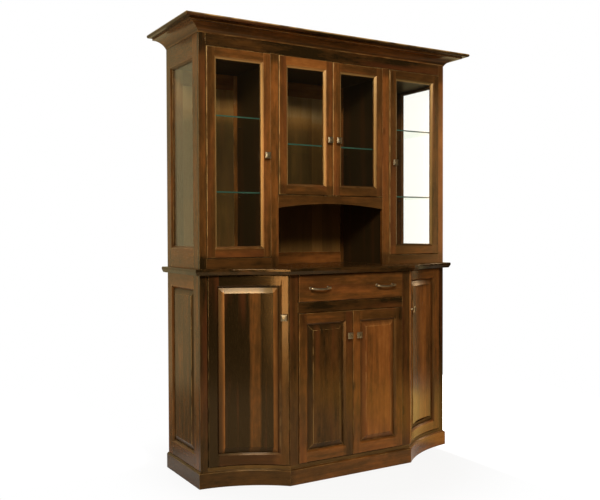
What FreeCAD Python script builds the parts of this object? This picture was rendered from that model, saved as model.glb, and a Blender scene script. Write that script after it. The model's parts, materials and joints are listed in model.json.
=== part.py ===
import FreeCAD, Part
import math
import os
from collections import namedtuple

# A dresser with a glazed hutch: two hollow-curved doors flank a projecting centre block.
# Sizes are in millimetres. Depths run forward from the back plane, heights up from the floor.

# Whole case
WIDTH = 1446.0              # hutch and base, side to side
TOTAL_HEIGHT = 2134.0
CASE_DEPTH = 395.0          # hutch, and base at its two ends
SIDE_THICKNESS = 20.0
FACE_THICKNESS = 20.0
PARTITION_THICKNESS = 20.0
CORNER_STILE = 34.0         # front stile at each outer corner
SIDE_BACK_STILE = 62.0
SIDE_FRONT_STILE = 61.0

# Base
CENTRE_DEPTH = 566.0
CENTRE_WIDTH = 700.0
CURVE_RADIUS = 640.0        # hollow front of the side bays
PLINTH_HEIGHT = 76.0
PLINTH_THICKNESS = 20.0
PLINTH_PROUD = 10.0
PLINTH_BEVEL = 7.0
BASE_FLOOR_THICKNESS = 15.0
BASE_BACK_THICKNESS = 10.0
BASE_SIDE_RAIL = 75.0
BLOCK_STILE = 45.0
DRAWER_OPENING = 133.0
DRAWER_RAIL = 47.0
BASE_SIDE_SHELF_HEIGHT = 520.0
BASE_CENTRE_SHELF_HEIGHT = 430.0
WOOD_SHELF_THICKNESS = 18.0
WOOD_SHELF_SETBACK = 30.0

# Countertop
COUNTER_HEIGHT = 1003.0
COUNTER_THICKNESS = 27.5
COUNTER_OVERHANG = 31.0
COUNTER_UPRIGHT = 12.0      # upright part of its edge
COUNTER_SLANT = 8.0         # how far the edge leans in below that
COUNTER_ROUND = 4.0

# Hutch
CENTRE_OPENING = 622.0
INNER_STILE = 41.0
HUTCH_TOP_RAIL = 54.0       # seen below the crown
HUTCH_BOTTOM_RAIL = 47.0
NICHE_SHARE = 0.3068        # countertop to the sill of the centre doors, of the hutch's height
APRON_END = 61.0
APRON_MIDDLE = 38.0
HUTCH_SIDE_BOTTOM_RAIL = 102.0
HUTCH_SIDE_TOP_RAIL = 112.0  # seen below the crown
CEILING_DROP = 41.0         # ceiling below the top rail's lower edge
HUTCH_BOARD = 18.0          # floors, niche ceiling and ceiling
BACK_FRAME_THICKNESS = 16.0
BACK_STILE = 60.0
BACK_BOTTOM_RAIL = 60.0
BACK_TOP_RAIL = 76.0
BACK_PANEL_THICKNESS = 8.0
BACK_PANEL_SETBACK = 5.0

# Crown
CROWN_DROP = 59.0
CROWN_PROJECTION = 100.0
CAP_THICKNESS = 16.0
CAP_NOSE = 28.0             # cap beyond the moulding
CAP_ROUND = 7.0
CROWN_FILLET = 8.5          # upright fillet at the top of the cove
CROWN_LEDGE = 8.0
CROWN_FOOT = 3.0
COVE_RADIUS = 75.0

# Glass shelves, levels as shares of the hutch's height
LOWER_SHELF_SHARE = 0.3112
UPPER_SHELF_SHARE = 0.6242
CENTRE_SHELF_SHARE = 0.5261
GLASS_SHELF_THICKNESS = 7.0
GLASS_SHELF_SETBACK = 15.0
SHELF_CLEARANCE = 1.5
SHELF_PIN_DIAMETER = 6.0
SHELF_PIN_LENGTH = 12.0
SHELF_PIN_INSET = 30.0

# Doors
DOOR_THICKNESS = 20.0
DOOR_PROUD = 6.0            # door face in front of its face frame
DOOR_ROUND = 4.0
DOOR_GAP = 2.5
END_GAP = 3.0               # above and below a door
MEETING_GAP = 3.0
HUTCH_DOOR_STILE = 50.0
HUTCH_DOOR_RAIL = 52.0
BASE_DOOR_STILE = 50.0
BASE_DOOR_RAIL = 56.0
GLASS_STICKING = 11.0       # bevel on the inner edge of a glazed frame
PANEL_STICKING = 9.0        # bevel on the inner edge of a panelled frame
STICKING_DEPTH = 8.0
REBATE_WIDTH = 8.0
REBATE_DEPTH = 8.0
GLASS_THICKNESS = 4.0
PANE_CLEARANCE = 0.5
PANEL_BEVEL = 26.0
PANEL_STEP = 1.5
PANEL_FIELD_SETBACK = 1.5

# Hinges and handles
PIN_DIAMETER = 4.0
PIN_LENGTH = 18.0
PIN_CLEARANCE = 0.05
PIN_END_CLEARANCE = 1.0
LEAF_THICKNESS = 2.5
LEAF_LENGTH = 36.0
LEAF_WIDTH = 12.0
HINGE_INSET = 7.0           # pin axis from the door's edge
HINGE_SETBACK = 8.0         # pin axis behind the door's face
KNOB_SIZE = 29.0
KNOB_PROJECTION = 24.0
KNOB_STEM_DIAMETER = 11.0
KNOB_STEM_LENGTH = 11.0
KNOB_NECK = 20.0
KNOB_RIM = 4.0
KNOB_TIP = 13.0
KNOB_EDGE_INSET = 25.0      # knob centre from the door's free edge
STOP_DIAMETER = 10.0        # peg that a closed door rests against
STOP_HEIGHT = 16.0
STOP_CLEARANCE = 0.3
STOP_EDGE_INSET = 30.0
TALL_KNOB_HEIGHT = 482.0    # above the lower edge of a tall glazed door
CENTRE_KNOB_HEIGHT = 275.0  # above the lower edge of a centre glazed door
CURVED_KNOB_DROP = 194.5    # below the upper edge of a curved door
BASE_KNOB_DROP = 118.5      # below the upper edge of a flat base door
PULL_SPREAD = 382.0
PULL_CENTRES = 96.0
PULL_LENGTH = 110.0
PULL_PROJECTION = 24.0
PULL_END_PROJECTION = 16.0
PULL_ROD = 8.0
PULL_POST = 9.0

# Drawer
DRAWER_SIDE = 12.0
DRAWER_BOX_HEIGHT = 96.0
DRAWER_BACK_GAP = 62.0      # behind the closed drawer
DRAWER_BOTTOM = 6.0
DRAWER_BOTTOM_RISE = 8.0
DRAWER_SIDE_GAP = 15.0      # box inside the face frame opening
DRAWER_LIFT = 11.0          # box above the drawer rail
RUNNER_THICKNESS = 18.0
RUNNER_OVERLAP = 10.0       # runner under the drawer side
RUNNER_CLEARANCE = 0.3
GUIDE_CLEARANCE = 1.0
GUIDE_HEIGHT = 30.0

# Levels and planes worked out from the sizes above
V = FreeCAD.Vector
UP = V(0, 0, 1)
BACK_Y = (CENTRE_DEPTH + COUNTER_OVERHANG) / 2
HALF_WIDTH = WIDTH / 2
HALF_CENTRE = CENTRE_WIDTH / 2
INNER_SIDE_X = HALF_WIDTH - SIDE_THICKNESS
POST_X = HALF_WIDTH - CORNER_STILE
FACE_BACK = CASE_DEPTH - FACE_THICKNESS
BLOCK_BACK = CENTRE_DEPTH - FACE_THICKNESS
BLOCK_OPENING_X = HALF_CENTRE - BLOCK_STILE
BASE_FLOOR_TOP = PLINTH_HEIGHT + BASE_FLOOR_THICKNESS
COUNTER_UNDERSIDE = COUNTER_HEIGHT - COUNTER_THICKNESS
DRAWER_RAIL_TOP = COUNTER_UNDERSIDE - DRAWER_OPENING
DRAWER_RAIL_BOTTOM = DRAWER_RAIL_TOP - DRAWER_RAIL
BODY_TOP = TOTAL_HEIGHT - CAP_THICKNESS
CROWN_BOTTOM = TOTAL_HEIGHT - CROWN_DROP
HUTCH_OPENING_TOP = CROWN_BOTTOM - HUTCH_TOP_RAIL
HUTCH_FLOOR_TOP = COUNTER_HEIGHT + HUTCH_BOTTOM_RAIL
HUTCH_HEIGHT = TOTAL_HEIGHT - COUNTER_HEIGHT
NICHE_TOP = COUNTER_HEIGHT + NICHE_SHARE * HUTCH_HEIGHT
SIDE_SHELF_LEVELS = [COUNTER_HEIGHT + share * HUTCH_HEIGHT
                     for share in (LOWER_SHELF_SHARE, UPPER_SHELF_SHARE)]
CENTRE_SHELF_LEVEL = COUNTER_HEIGHT + CENTRE_SHELF_SHARE * HUTCH_HEIGHT
CEILING_Z = HUTCH_OPENING_TOP - CEILING_DROP
CENTRE_OPENING_X = CENTRE_OPENING / 2
TALL_OPENING_X = CENTRE_OPENING_X + INNER_STILE
HUTCH_PARTITION_X = CENTRE_OPENING_X + (INNER_STILE - PARTITION_THICKNESS) / 2
HUTCH_PARTITION_OUTER_X = HUTCH_PARTITION_X + PARTITION_THICKNESS
BASE_PARTITION_X = HALF_CENTRE - PARTITION_THICKNESS
SHOULDER = DOOR_THICKNESS - REBATE_DEPTH

# A framed leaf: outer size, member widths, thickness and the bevel on its inner edges
Leaf = namedtuple("Leaf", "width height left right bottom top thickness sticking")


# Placing and saving

def y_at(depth):
    """Y of a plane at a depth in front of the back."""
    return BACK_Y - depth


def block(x, depth, z):
    """Box between two X values, two depths and two heights."""
    x0, x1 = sorted(x)
    d0, d1 = sorted(depth)
    return Part.makeBox(x1 - x0, d1 - d0, z[1] - z[0], V(x0, y_at(d1), z[0]))


def mirrored(shape):
    """The same piece on the other side of the cabinet."""
    return shape.mirror(V(0, 0, 0), V(1, 0, 0))


def both_sides(shapes):
    """Pieces of the left side with their right-hand twins."""
    return list(shapes) + [mirrored(shape) for shape in shapes]


def on_front(shapes, x, depth, z):
    """Leaf pieces stood facing forward, with their face at a depth."""
    for shape in shapes:
        shape.translate(V(x, y_at(depth), z))
    return shapes


def on_left_side(shapes, z):
    """Leaf pieces turned to face left, from the back plane forward."""
    for shape in shapes:
        shape.rotate(V(0, 0, 0), UP, -90)
        shape.translate(V(-HALF_WIDTH, BACK_Y, z))
    return shapes


def save(name, solids):
    """Write one named piece, or one group of like pieces."""
    Part.makeCompound(list(solids)).exportStep("parts/%s.step" % name)
    print("%-28s %2d solids" % (name, len(solids)))


# Flat framed leaves, drawn with the face at y = 0 and the back at y = thickness

def sight(leaf, grow=0.0):
    """Opening inside a leaf's members, widened all round by grow."""
    return (leaf.left - grow, leaf.width - leaf.right + grow,
            leaf.bottom - grow, leaf.height - leaf.top + grow)


def rectangle(bounds, y):
    u0, u1, v0, v1 = bounds
    corners = [V(u0, y, v0), V(u1, y, v0), V(u1, y, v1), V(u0, y, v1)]
    return Part.makePolygon(corners + corners[:1])


def slab(bounds, y0, y1):
    return Part.Face(rectangle(bounds, y0)).extrude(V(0, y1 - y0, 0))


def flare(bounds0, y0, bounds1, y1):
    """Block whose four flat edges slope from one rectangle to another."""
    u0, u1, v0, v1 = bounds0
    s0, s1, t0, t1 = bounds1
    return Part.makeWedge(u0, y0, v0, t0, s0, u1, y1, v1, t1, s1)


def rounded_blank(leaf):
    """Board of the leaf's outer size with its front edges rounded over."""
    blank = slab((0, leaf.width, 0, leaf.height), 0, leaf.thickness)
    front = [edge for edge in blank.Edges if edge.BoundBox.YMax < leaf.thickness / 2]
    return blank.makeFillet(DOOR_ROUND, front)


def member_outlines(leaf):
    """Outlines of the two stiles and two rails, mitred along their inner bevels."""
    s = leaf.sticking
    u0, u1, v0, v1 = sight(leaf)
    left = [(0, 0), (u0 - s, 0), (u0 - s, v0 - s), (u0, v0),
            (u0, v1), (u0 - s, v1 + s), (u0 - s, leaf.height), (0, leaf.height)]
    right = [(leaf.width, 0), (u1 + s, 0), (u1 + s, v0 - s), (u1, v0),
             (u1, v1), (u1 + s, v1 + s), (u1 + s, leaf.height), (leaf.width, leaf.height)]
    bottom = [(u0 - s, 0), (u1 + s, 0), (u1 + s, v0 - s), (u1, v0), (u0, v0), (u0 - s, v0 - s)]
    top = [(u0 - s, leaf.height), (u1 + s, leaf.height), (u1 + s, v1 + s),
           (u1, v1), (u0, v1), (u0 - s, v1 + s)]
    return left, right, bottom, top


def cut_opening(blank, leaf):
    """Cut the sight opening, its front bevel and its back rebate."""
    bevelled = flare(sight(leaf, leaf.sticking), 0, sight(leaf), STICKING_DEPTH)
    rebate = slab(sight(leaf, REBATE_WIDTH), leaf.thickness - REBATE_DEPTH, leaf.thickness)
    return blank.cut(bevelled).cut(slab(sight(leaf), 0, leaf.thickness)).cut(rebate)


def frame_members(blank, leaf):
    """Two stiles and two rails with a bevelled opening and a rebate."""
    ring = cut_opening(blank, leaf)
    members = []
    for outline in member_outlines(leaf):
        points = [V(u, 0, v) for u, v in outline]
        prism = Part.Face(Part.makePolygon(points + points[:1])).extrude(V(0, leaf.thickness, 0))
        members.append(ring.common(prism).Solids[0])
    return members


def raised_panel(leaf):
    """Panel with a tongue in the rebate and a bevelled, raised field."""
    shoulder = leaf.thickness - REBATE_DEPTH
    tongue = slab(sight(leaf, REBATE_WIDTH - PANE_CLEARANCE), shoulder, leaf.thickness)
    foot = sight(leaf, -PANE_CLEARANCE)
    field = sight(leaf, -PANE_CLEARANCE - PANEL_BEVEL)
    step = PANEL_FIELD_SETBACK + PANEL_STEP
    bevel = flare(field, step, foot, shoulder)
    return tongue.fuse(bevel).fuse(slab(field, PANEL_FIELD_SETBACK, step)).removeSplitter()


def pane(leaf):
    """Sheet of glass against the rebate's shoulder."""
    shoulder = leaf.thickness - REBATE_DEPTH
    return slab(sight(leaf, REBATE_WIDTH - PANE_CLEARANCE), shoulder, shoulder + GLASS_THICKNESS)


def glazing_beads(leaf):
    """Four mitred strips that hold the glass in its rebate."""
    start = leaf.thickness - REBATE_DEPTH + GLASS_THICKNESS
    outer = sight(leaf, REBATE_WIDTH)
    inner = sight(leaf)
    o0, o1, p0, p1 = outer
    i0, i1, j0, j1 = inner
    outlines = [[(o0, p0), (i0, j0), (i0, j1), (o0, p1)], [(o1, p0), (i1, j0), (i1, j1), (o1, p1)],
                [(o0, p0), (o1, p0), (i1, j0), (i0, j0)], [(o0, p1), (o1, p1), (i1, j1), (i0, j1)]]
    beads = []
    for outline in outlines:
        points = [V(u, start, v) for u, v in outline]
        face = Part.Face(Part.makePolygon(points + points[:1]))
        beads.append(face.extrude(V(0, leaf.thickness - start, 0)))
    return beads


def pin_bores(u, leaf):
    """Bores for the hinge pins at the top and bottom of a leaf."""
    depth = PIN_LENGTH + PIN_END_CLEARANCE
    radius = PIN_DIAMETER / 2 + PIN_CLEARANCE
    low = Part.makeCylinder(radius, depth, V(u, HINGE_SETBACK, 0), UP)
    high = Part.makeCylinder(radius, depth, V(u, HINGE_SETBACK, leaf.height), V(0, 0, -1))
    return low.fuse(high)


# The hollow curve of the left side bay, seen in plan

def curve_centre():
    """Centre of the hollow curve, out in front of the cabinet."""
    outer = V(-HALF_WIDTH, y_at(CASE_DEPTH), 0)
    inner = V(-HALF_CENTRE, y_at(CENTRE_DEPTH), 0)
    chord = inner - outer
    forward = V(chord.y, -chord.x, 0).normalize()
    reach = math.sqrt(CURVE_RADIUS ** 2 - (chord.Length / 2) ** 2)
    return (outer + inner) * 0.5 + forward * reach


def curve_at_x(x, proud):
    """Point at an X on the curve moved forward by proud."""
    centre = curve_centre()
    radius = CURVE_RADIUS - proud
    return V(x, centre.y + math.sqrt(radius ** 2 - (x - centre.x) ** 2), 0)


def curve_at_depth(depth, proud):
    """Point at a depth on the curve moved forward by proud."""
    centre = curve_centre()
    radius = CURVE_RADIUS - proud
    return V(centre.x + math.sqrt(radius ** 2 - (y_at(depth) - centre.y) ** 2), y_at(depth), 0)


def curve_between(start, end, proud):
    """Arc of the curve from one of its points to another."""
    centre = curve_centre()
    middle = ((start + end) * 0.5 - centre).normalize()
    return Part.Arc(start, centre + middle * (CURVE_RADIUS - proud), end).toShape()


def line(start, end):
    return Part.LineSegment(start, end).toShape()


def flat_face(edges):
    return Part.Face(Part.Wire(Part.__sortEdges__(edges)))


def sector(front, back):
    """Plan face between two offsets of the curve, each a proud value with its two X ends."""
    (front_proud, front_outer, front_inner) = front
    (back_proud, back_outer, back_inner) = back
    a = curve_at_x(front_outer, front_proud)
    b = curve_at_x(front_inner, front_proud)
    c = curve_at_x(back_inner, back_proud)
    d = curve_at_x(back_outer, back_proud)
    return flat_face([curve_between(a, b, front_proud), line(b, c),
                      curve_between(c, d, back_proud), line(d, a)])


def curved_slab(ends, z, front_proud, back_proud):
    """Bent board between two X ends, two heights and two offsets of the curve."""
    face = sector((front_proud,) + ends, (back_proud,) + ends)
    face.translate(V(0, 0, z[0]))
    return face.extrude(V(0, 0, z[1] - z[0]))


def curved_flare(front_proud, front_ends, front_z, back_proud, back_ends, back_z):
    """Bent block whose four edges slope from its front face to its back face."""
    plan = sector((front_proud,) + front_ends, (back_proud,) + back_ends)
    prism = plan.extrude(V(0, 0, COUNTER_HEIGHT))
    centre = curve_centre()
    front_r = CURVE_RADIUS - front_proud
    back_r = CURVE_RADIUS - back_proud
    points = [V(centre.x + front_r, centre.y, front_z[0]), V(centre.x + back_r, centre.y, back_z[0]),
              V(centre.x + back_r, centre.y, back_z[1]), V(centre.x + front_r, centre.y, front_z[1])]
    profile = Part.Face(Part.makePolygon(points + points[:1]))
    return profile.revolve(centre, UP, 180).common(prism)


# Contour of the base: straight ends, two hollow curves and a projecting centre

def contour_corners(proud):
    """Left half of the contour moved out by proud: back, outer and inner corner."""
    x = -HALF_WIDTH - proud
    return [V(x, BACK_Y, 0), curve_at_x(x, proud), curve_at_depth(CENTRE_DEPTH + proud, proud)]


def contour_wire(proud, z):
    back, outer, inner = contour_corners(proud)
    half = [line(back, outer), curve_between(outer, inner, proud)]
    across = [line(inner, V(-inner.x, inner.y, 0)), line(back, V(-back.x, back.y, 0))]
    wire = Part.Wire(Part.__sortEdges__(both_sides(half) + across))
    wire.translate(V(0, 0, z))
    return wire


# Base case

def plinth_board(outer_edge, start, end, inner_edge):
    """One mitred board of the plinth with a bevel along its top front edge."""
    face = flat_face([outer_edge, line(*start), inner_edge, line(*end)])
    board = face.extrude(V(0, 0, PLINTH_HEIGHT))
    probe = outer_edge.copy()
    probe.translate(V(0, 0, PLINTH_HEIGHT))
    top = [edge for edge in board.Edges if edge.CenterOfMass.isEqual(probe.CenterOfMass, 0.01)]
    return board.makeChamfer(PLINTH_BEVEL, top)


def plinth():
    inset = PLINTH_PROUD - PLINTH_THICKNESS
    outer = contour_corners(PLINTH_PROUD)
    inner = contour_corners(inset)
    side = plinth_board(line(outer[0], outer[1]), (outer[0], inner[0]), (outer[1], inner[1]),
                        line(inner[0], inner[1]))
    hollow = plinth_board(curve_between(outer[1], outer[2], PLINTH_PROUD), (outer[1], inner[1]),
                          (outer[2], inner[2]), curve_between(inner[1], inner[2], inset))
    twin_outer = V(-outer[2].x, outer[2].y, 0)
    twin_inner = V(-inner[2].x, inner[2].y, 0)
    front = plinth_board(line(outer[2], twin_outer), (outer[2], inner[2]), (twin_outer, twin_inner),
                         line(inner[2], twin_inner))
    back = block((inner[0].x, -inner[0].x), (0, PLINTH_THICKNESS), (0, PLINTH_HEIGHT))
    save("plinth", both_sides([side, hollow]) + [front, back])


def base_floor():
    level = (PLINTH_HEIGHT, BASE_FLOOR_TOP)
    board = Part.Face(contour_wire(0, PLINTH_HEIGHT)).extrude(V(0, 0, BASE_FLOOR_THICKNESS))
    inside = block((-INNER_SIDE_X, INNER_SIDE_X), (BASE_BACK_THICKNESS, CENTRE_DEPTH), level)
    corner = block((-HALF_WIDTH, -POST_X), (FACE_BACK, CENTRE_DEPTH), level)
    save("base_floor", [board.common(inside).cut(corner).cut(mirrored(corner))])


def base_sides():
    height = COUNTER_UNDERSIDE - PLINTH_HEIGHT
    leaf = Leaf(FACE_BACK, height, SIDE_BACK_STILE, SIDE_FRONT_STILE, BASE_SIDE_RAIL,
                BASE_SIDE_RAIL, SIDE_THICKNESS, PANEL_STICKING)
    blank = slab((0, leaf.width, 0, leaf.height), 0, leaf.thickness)
    save("base_side_frames", both_sides(on_left_side(frame_members(blank, leaf), PLINTH_HEIGHT)))
    save("base_side_panels", both_sides(on_left_side([raised_panel(leaf)], PLINTH_HEIGHT)))


def base_corner_posts():
    outer = curve_at_x(-HALF_WIDTH, 0)
    inner = curve_at_x(-POST_X, 0)
    back_inner = V(-POST_X, y_at(FACE_BACK), 0)
    back_outer = V(-HALF_WIDTH, y_at(FACE_BACK), 0)
    face = flat_face([curve_between(outer, inner, 0), line(inner, back_inner),
                      line(back_inner, back_outer), line(back_outer, outer)])
    face.translate(V(0, 0, PLINTH_HEIGHT))
    save("base_corner_posts", both_sides([face.extrude(V(0, 0, COUNTER_UNDERSIDE - PLINTH_HEIGHT))]))


def base_inside():
    level = (BASE_FLOOR_TOP, COUNTER_UNDERSIDE)
    partition = block((-HALF_CENTRE, -BASE_PARTITION_X), (BASE_BACK_THICKNESS, BLOCK_BACK), level)
    save("base_partitions", both_sides([partition]))
    save("base_back", [block((-INNER_SIDE_X, INNER_SIDE_X), (0, BASE_BACK_THICKNESS),
                             (PLINTH_HEIGHT, COUNTER_UNDERSIDE))])
    stile = block((-HALF_CENTRE, -BLOCK_OPENING_X), (BLOCK_BACK, CENTRE_DEPTH), level)
    rail = block((-BLOCK_OPENING_X, BLOCK_OPENING_X), (BLOCK_BACK, CENTRE_DEPTH),
                 (DRAWER_RAIL_BOTTOM, DRAWER_RAIL_TOP))
    save("centre_face_frame", both_sides([stile]) + [rail])


def base_shelves():
    back = BASE_BACK_THICKNESS + SHELF_CLEARANCE
    front = DOOR_PROUD - DOOR_THICKNESS - WOOD_SHELF_SETBACK
    outer = curve_at_x(SHELF_CLEARANCE - INNER_SIDE_X, front)
    inner = curve_at_x(-HALF_CENTRE - SHELF_CLEARANCE, front)
    back_inner = V(inner.x, y_at(back), 0)
    back_outer = V(outer.x, y_at(back), 0)
    face = flat_face([curve_between(outer, inner, front), line(inner, back_inner),
                      line(back_inner, back_outer), line(back_outer, outer)])
    face.translate(V(0, 0, BASE_SIDE_SHELF_HEIGHT))
    side = face.extrude(V(0, 0, WOOD_SHELF_THICKNESS))
    half = BASE_PARTITION_X - SHELF_CLEARANCE
    centre = block((-half, half), (back, BLOCK_BACK - WOOD_SHELF_SETBACK),
                   (BASE_CENTRE_SHELF_HEIGHT, BASE_CENTRE_SHELF_HEIGHT + WOOD_SHELF_THICKNESS))
    save("base_shelves", both_sides([side]) + [centre])


def countertop():
    waist = COUNTER_HEIGHT - COUNTER_UPRIGHT
    upper = Part.Face(contour_wire(COUNTER_OVERHANG, waist)).extrude(V(0, 0, COUNTER_UPRIGHT))
    rim = [edge for edge in upper.Edges if edge.BoundBox.ZMin > COUNTER_HEIGHT - COUNTER_ROUND
           and edge.BoundBox.YMin < BACK_Y - COUNTER_ROUND]
    upper = upper.makeFillet(COUNTER_ROUND, rim)
    lower = Part.makeLoft([contour_wire(COUNTER_OVERHANG - COUNTER_SLANT, COUNTER_UNDERSIDE),
                           contour_wire(COUNTER_OVERHANG, waist)], True, True)
    save("countertop", [upper.fuse(lower)])


# Hutch case

def hutch_sides():
    rail = BODY_TOP - CROWN_BOTTOM + HUTCH_SIDE_TOP_RAIL
    leaf = Leaf(FACE_BACK, BODY_TOP - COUNTER_HEIGHT, SIDE_BACK_STILE, SIDE_FRONT_STILE,
                HUTCH_SIDE_BOTTOM_RAIL, rail, SIDE_THICKNESS, GLASS_STICKING)
    blank = slab((0, leaf.width, 0, leaf.height), 0, leaf.thickness)
    save("hutch_side_frames", both_sides(on_left_side(frame_members(blank, leaf), COUNTER_HEIGHT)))
    save("hutch_side_glass", both_sides(on_left_side([pane(leaf)], COUNTER_HEIGHT)))
    save("hutch_side_beads", both_sides(on_left_side(glazing_beads(leaf), COUNTER_HEIGHT)))


def hutch_face():
    depth = (FACE_BACK, CASE_DEPTH)
    corner = block((-HALF_WIDTH, -POST_X), depth, (COUNTER_HEIGHT, BODY_TOP))
    inner = block((-TALL_OPENING_X, -CENTRE_OPENING_X), depth, (COUNTER_HEIGHT, HUTCH_OPENING_TOP))
    low_rail = block((-POST_X, -TALL_OPENING_X), depth, (COUNTER_HEIGHT, HUTCH_FLOOR_TOP))
    top_rail = block((-POST_X, POST_X), depth, (HUTCH_OPENING_TOP, BODY_TOP))
    save("hutch_face_frame", both_sides([corner, inner, low_rail]) + [top_rail])


def arched_apron():
    """Rail over the niche, its lower edge cut to a shallow arch."""
    y = y_at(CASE_DEPTH)
    x = CENTRE_OPENING_X
    foot = NICHE_TOP - APRON_END
    arch = Part.Arc(V(-x, y, foot), V(0, y, NICHE_TOP - APRON_MIDDLE), V(x, y, foot)).toShape()
    edges = [arch, line(V(x, y, foot), V(x, y, NICHE_TOP)),
             line(V(x, y, NICHE_TOP), V(-x, y, NICHE_TOP)), line(V(-x, y, NICHE_TOP), V(-x, y, foot))]
    save("arched_apron", [flat_face(edges).extrude(V(0, FACE_THICKNESS, 0))])


def hutch_inside():
    depth = (BACK_FRAME_THICKNESS, FACE_BACK)
    partition = block((-HUTCH_PARTITION_OUTER_X, -HUTCH_PARTITION_X), depth, (COUNTER_HEIGHT, CEILING_Z))
    save("hutch_partitions", both_sides([partition]))
    floor = block((-INNER_SIDE_X, -HUTCH_PARTITION_OUTER_X), depth,
                  (HUTCH_FLOOR_TOP - HUTCH_BOARD, HUTCH_FLOOR_TOP))
    save("hutch_floors", both_sides([floor]))
    save("niche_ceiling", [block((-HUTCH_PARTITION_X, HUTCH_PARTITION_X), depth,
                                 (NICHE_TOP - HUTCH_BOARD, NICHE_TOP))])
    ceiling = block((-INNER_SIDE_X, INNER_SIDE_X), depth, (CEILING_Z, CEILING_Z + HUTCH_BOARD))
    stop = block((-INNER_SIDE_X, INNER_SIDE_X), (FACE_BACK - HUTCH_BOARD, FACE_BACK),
                 (CEILING_Z + HUTCH_BOARD, BODY_TOP))
    save("hutch_ceiling", [ceiling, stop])


def hutch_back():
    """Back of three panels between stiles behind the sides and the partitions."""
    depth = (0, BACK_FRAME_THICKNESS)
    middle = (HUTCH_PARTITION_X + HUTCH_PARTITION_OUTER_X) / 2
    inner = middle - BACK_STILE / 2
    outer = middle + BACK_STILE / 2
    edge = INNER_SIDE_X - BACK_STILE
    low = COUNTER_HEIGHT + BACK_BOTTOM_RAIL
    high = CEILING_Z - BACK_TOP_RAIL
    top = BODY_TOP
    stiles = [block((-INNER_SIDE_X, -edge), depth, (COUNTER_HEIGHT, top)),
              block((-outer, -inner), depth, (COUNTER_HEIGHT, top))]
    rails = []
    for z in ((COUNTER_HEIGHT, low), (high, top)):
        rails += both_sides([block((-edge, -outer), depth, z)])
        rails.append(block((-inner, inner), depth, z))
    save("hutch_back_frame", both_sides(stiles) + rails)
    face = BACK_FRAME_THICKNESS - BACK_PANEL_SETBACK
    sheet = (face - BACK_PANEL_THICKNESS, face)
    side = block((-edge, -outer), sheet, (low, high))
    save("hutch_back_panels", both_sides([side]) + [block((-inner, inner), sheet, (low, high))])


def glass_shelves():
    depth = (BACK_FRAME_THICKNESS + SHELF_CLEARANCE, FACE_BACK - GLASS_SHELF_SETBACK)
    outer = INNER_SIDE_X - SHELF_CLEARANCE
    inner = HUTCH_PARTITION_OUTER_X + SHELF_CLEARANCE
    half = HUTCH_PARTITION_X - SHELF_CLEARANCE
    side = []
    for z in SIDE_SHELF_LEVELS:
        side.append(block((-outer, -inner), depth, (z, z + GLASS_SHELF_THICKNESS)))
    z = CENTRE_SHELF_LEVEL
    centre = block((-half, half), depth, (z, z + GLASS_SHELF_THICKNESS))
    save("glass_shelves", both_sides(side) + [centre])


def shelf_pins():
    """Round pins in the walls, two under each end of every shelf."""
    radius = SHELF_PIN_DIAMETER / 2
    hutch_depths = (BACK_FRAME_THICKNESS + SHELF_PIN_INSET,
                    FACE_BACK - GLASS_SHELF_SETBACK - SHELF_PIN_INSET)
    side_depths = (BASE_BACK_THICKNESS + SHELF_PIN_INSET,
                   CASE_DEPTH + DOOR_PROUD - DOOR_THICKNESS - WOOD_SHELF_SETBACK - SHELF_PIN_INSET)
    centre_depths = (BASE_BACK_THICKNESS + SHELF_PIN_INSET,
                     BLOCK_BACK - WOOD_SHELF_SETBACK - SHELF_PIN_INSET)
    rows = []
    for level in SIDE_SHELF_LEVELS:
        rows.append((-INNER_SIDE_X, 1, hutch_depths, level))
        rows.append((-HUTCH_PARTITION_OUTER_X, -1, hutch_depths, level))
    rows.append((-HUTCH_PARTITION_X, 1, hutch_depths, CENTRE_SHELF_LEVEL))
    rows.append((-INNER_SIDE_X, 1, side_depths, BASE_SIDE_SHELF_HEIGHT))
    rows.append((-HALF_CENTRE, -1, side_depths, BASE_SIDE_SHELF_HEIGHT))
    rows.append((-BASE_PARTITION_X, 1, centre_depths, BASE_CENTRE_SHELF_HEIGHT))
    pins = []
    for x, direction, depths, shelf in rows:
        for depth in depths:
            start = V(x, y_at(depth), shelf - radius)
            pins.append(Part.makeCylinder(radius, SHELF_PIN_LENGTH, start, V(direction, 0, 0)))
    save("shelf_pins", both_sides(pins))


# Crown

def crown_profile():
    """Section of the cove moulding, as distance out from the case and height."""
    top = BODY_TOP
    lip = CROWN_PROJECTION - CAP_NOSE
    ledge = lip - CROWN_LEDGE
    cove_top = top - CROWN_FILLET
    cove_foot = CROWN_BOTTOM + CROWN_FOOT
    start = V(ledge, cove_top, 0)
    end = V(CROWN_FOOT, cove_foot, 0)
    chord = end - start
    sag = COVE_RADIUS - math.sqrt(COVE_RADIUS ** 2 - (chord.Length / 2) ** 2)
    hollow = V(chord.y, -chord.x, 0).normalize()
    middle = (start + end) * 0.5 + hollow * sag
    corners = [V(0, CROWN_BOTTOM, 0), V(0, top, 0), V(lip, top, 0), V(lip, cove_top, 0), start]
    return corners, (start, middle, end), [end, V(CROWN_FOOT, CROWN_BOTTOM, 0), V(0, CROWN_BOTTOM, 0)]


def moulding_face(place):
    """The moulding's section, with each of its points set by place(out, height)."""
    before, cove, after = crown_profile()
    edges = [line(place(a), place(b)) for a, b in zip(before, before[1:])]
    edges.append(Part.Arc(*[place(point) for point in cove]).toShape())
    edges += [line(place(a), place(b)) for a, b in zip(after, after[1:])]
    return flat_face(edges)


def plan_prism(points):
    corners = [V(x, y_at(depth), CROWN_BOTTOM) for x, depth in points]
    face = Part.Face(Part.makePolygon(corners + corners[:1]))
    return face.extrude(V(0, 0, CROWN_DROP))


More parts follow.
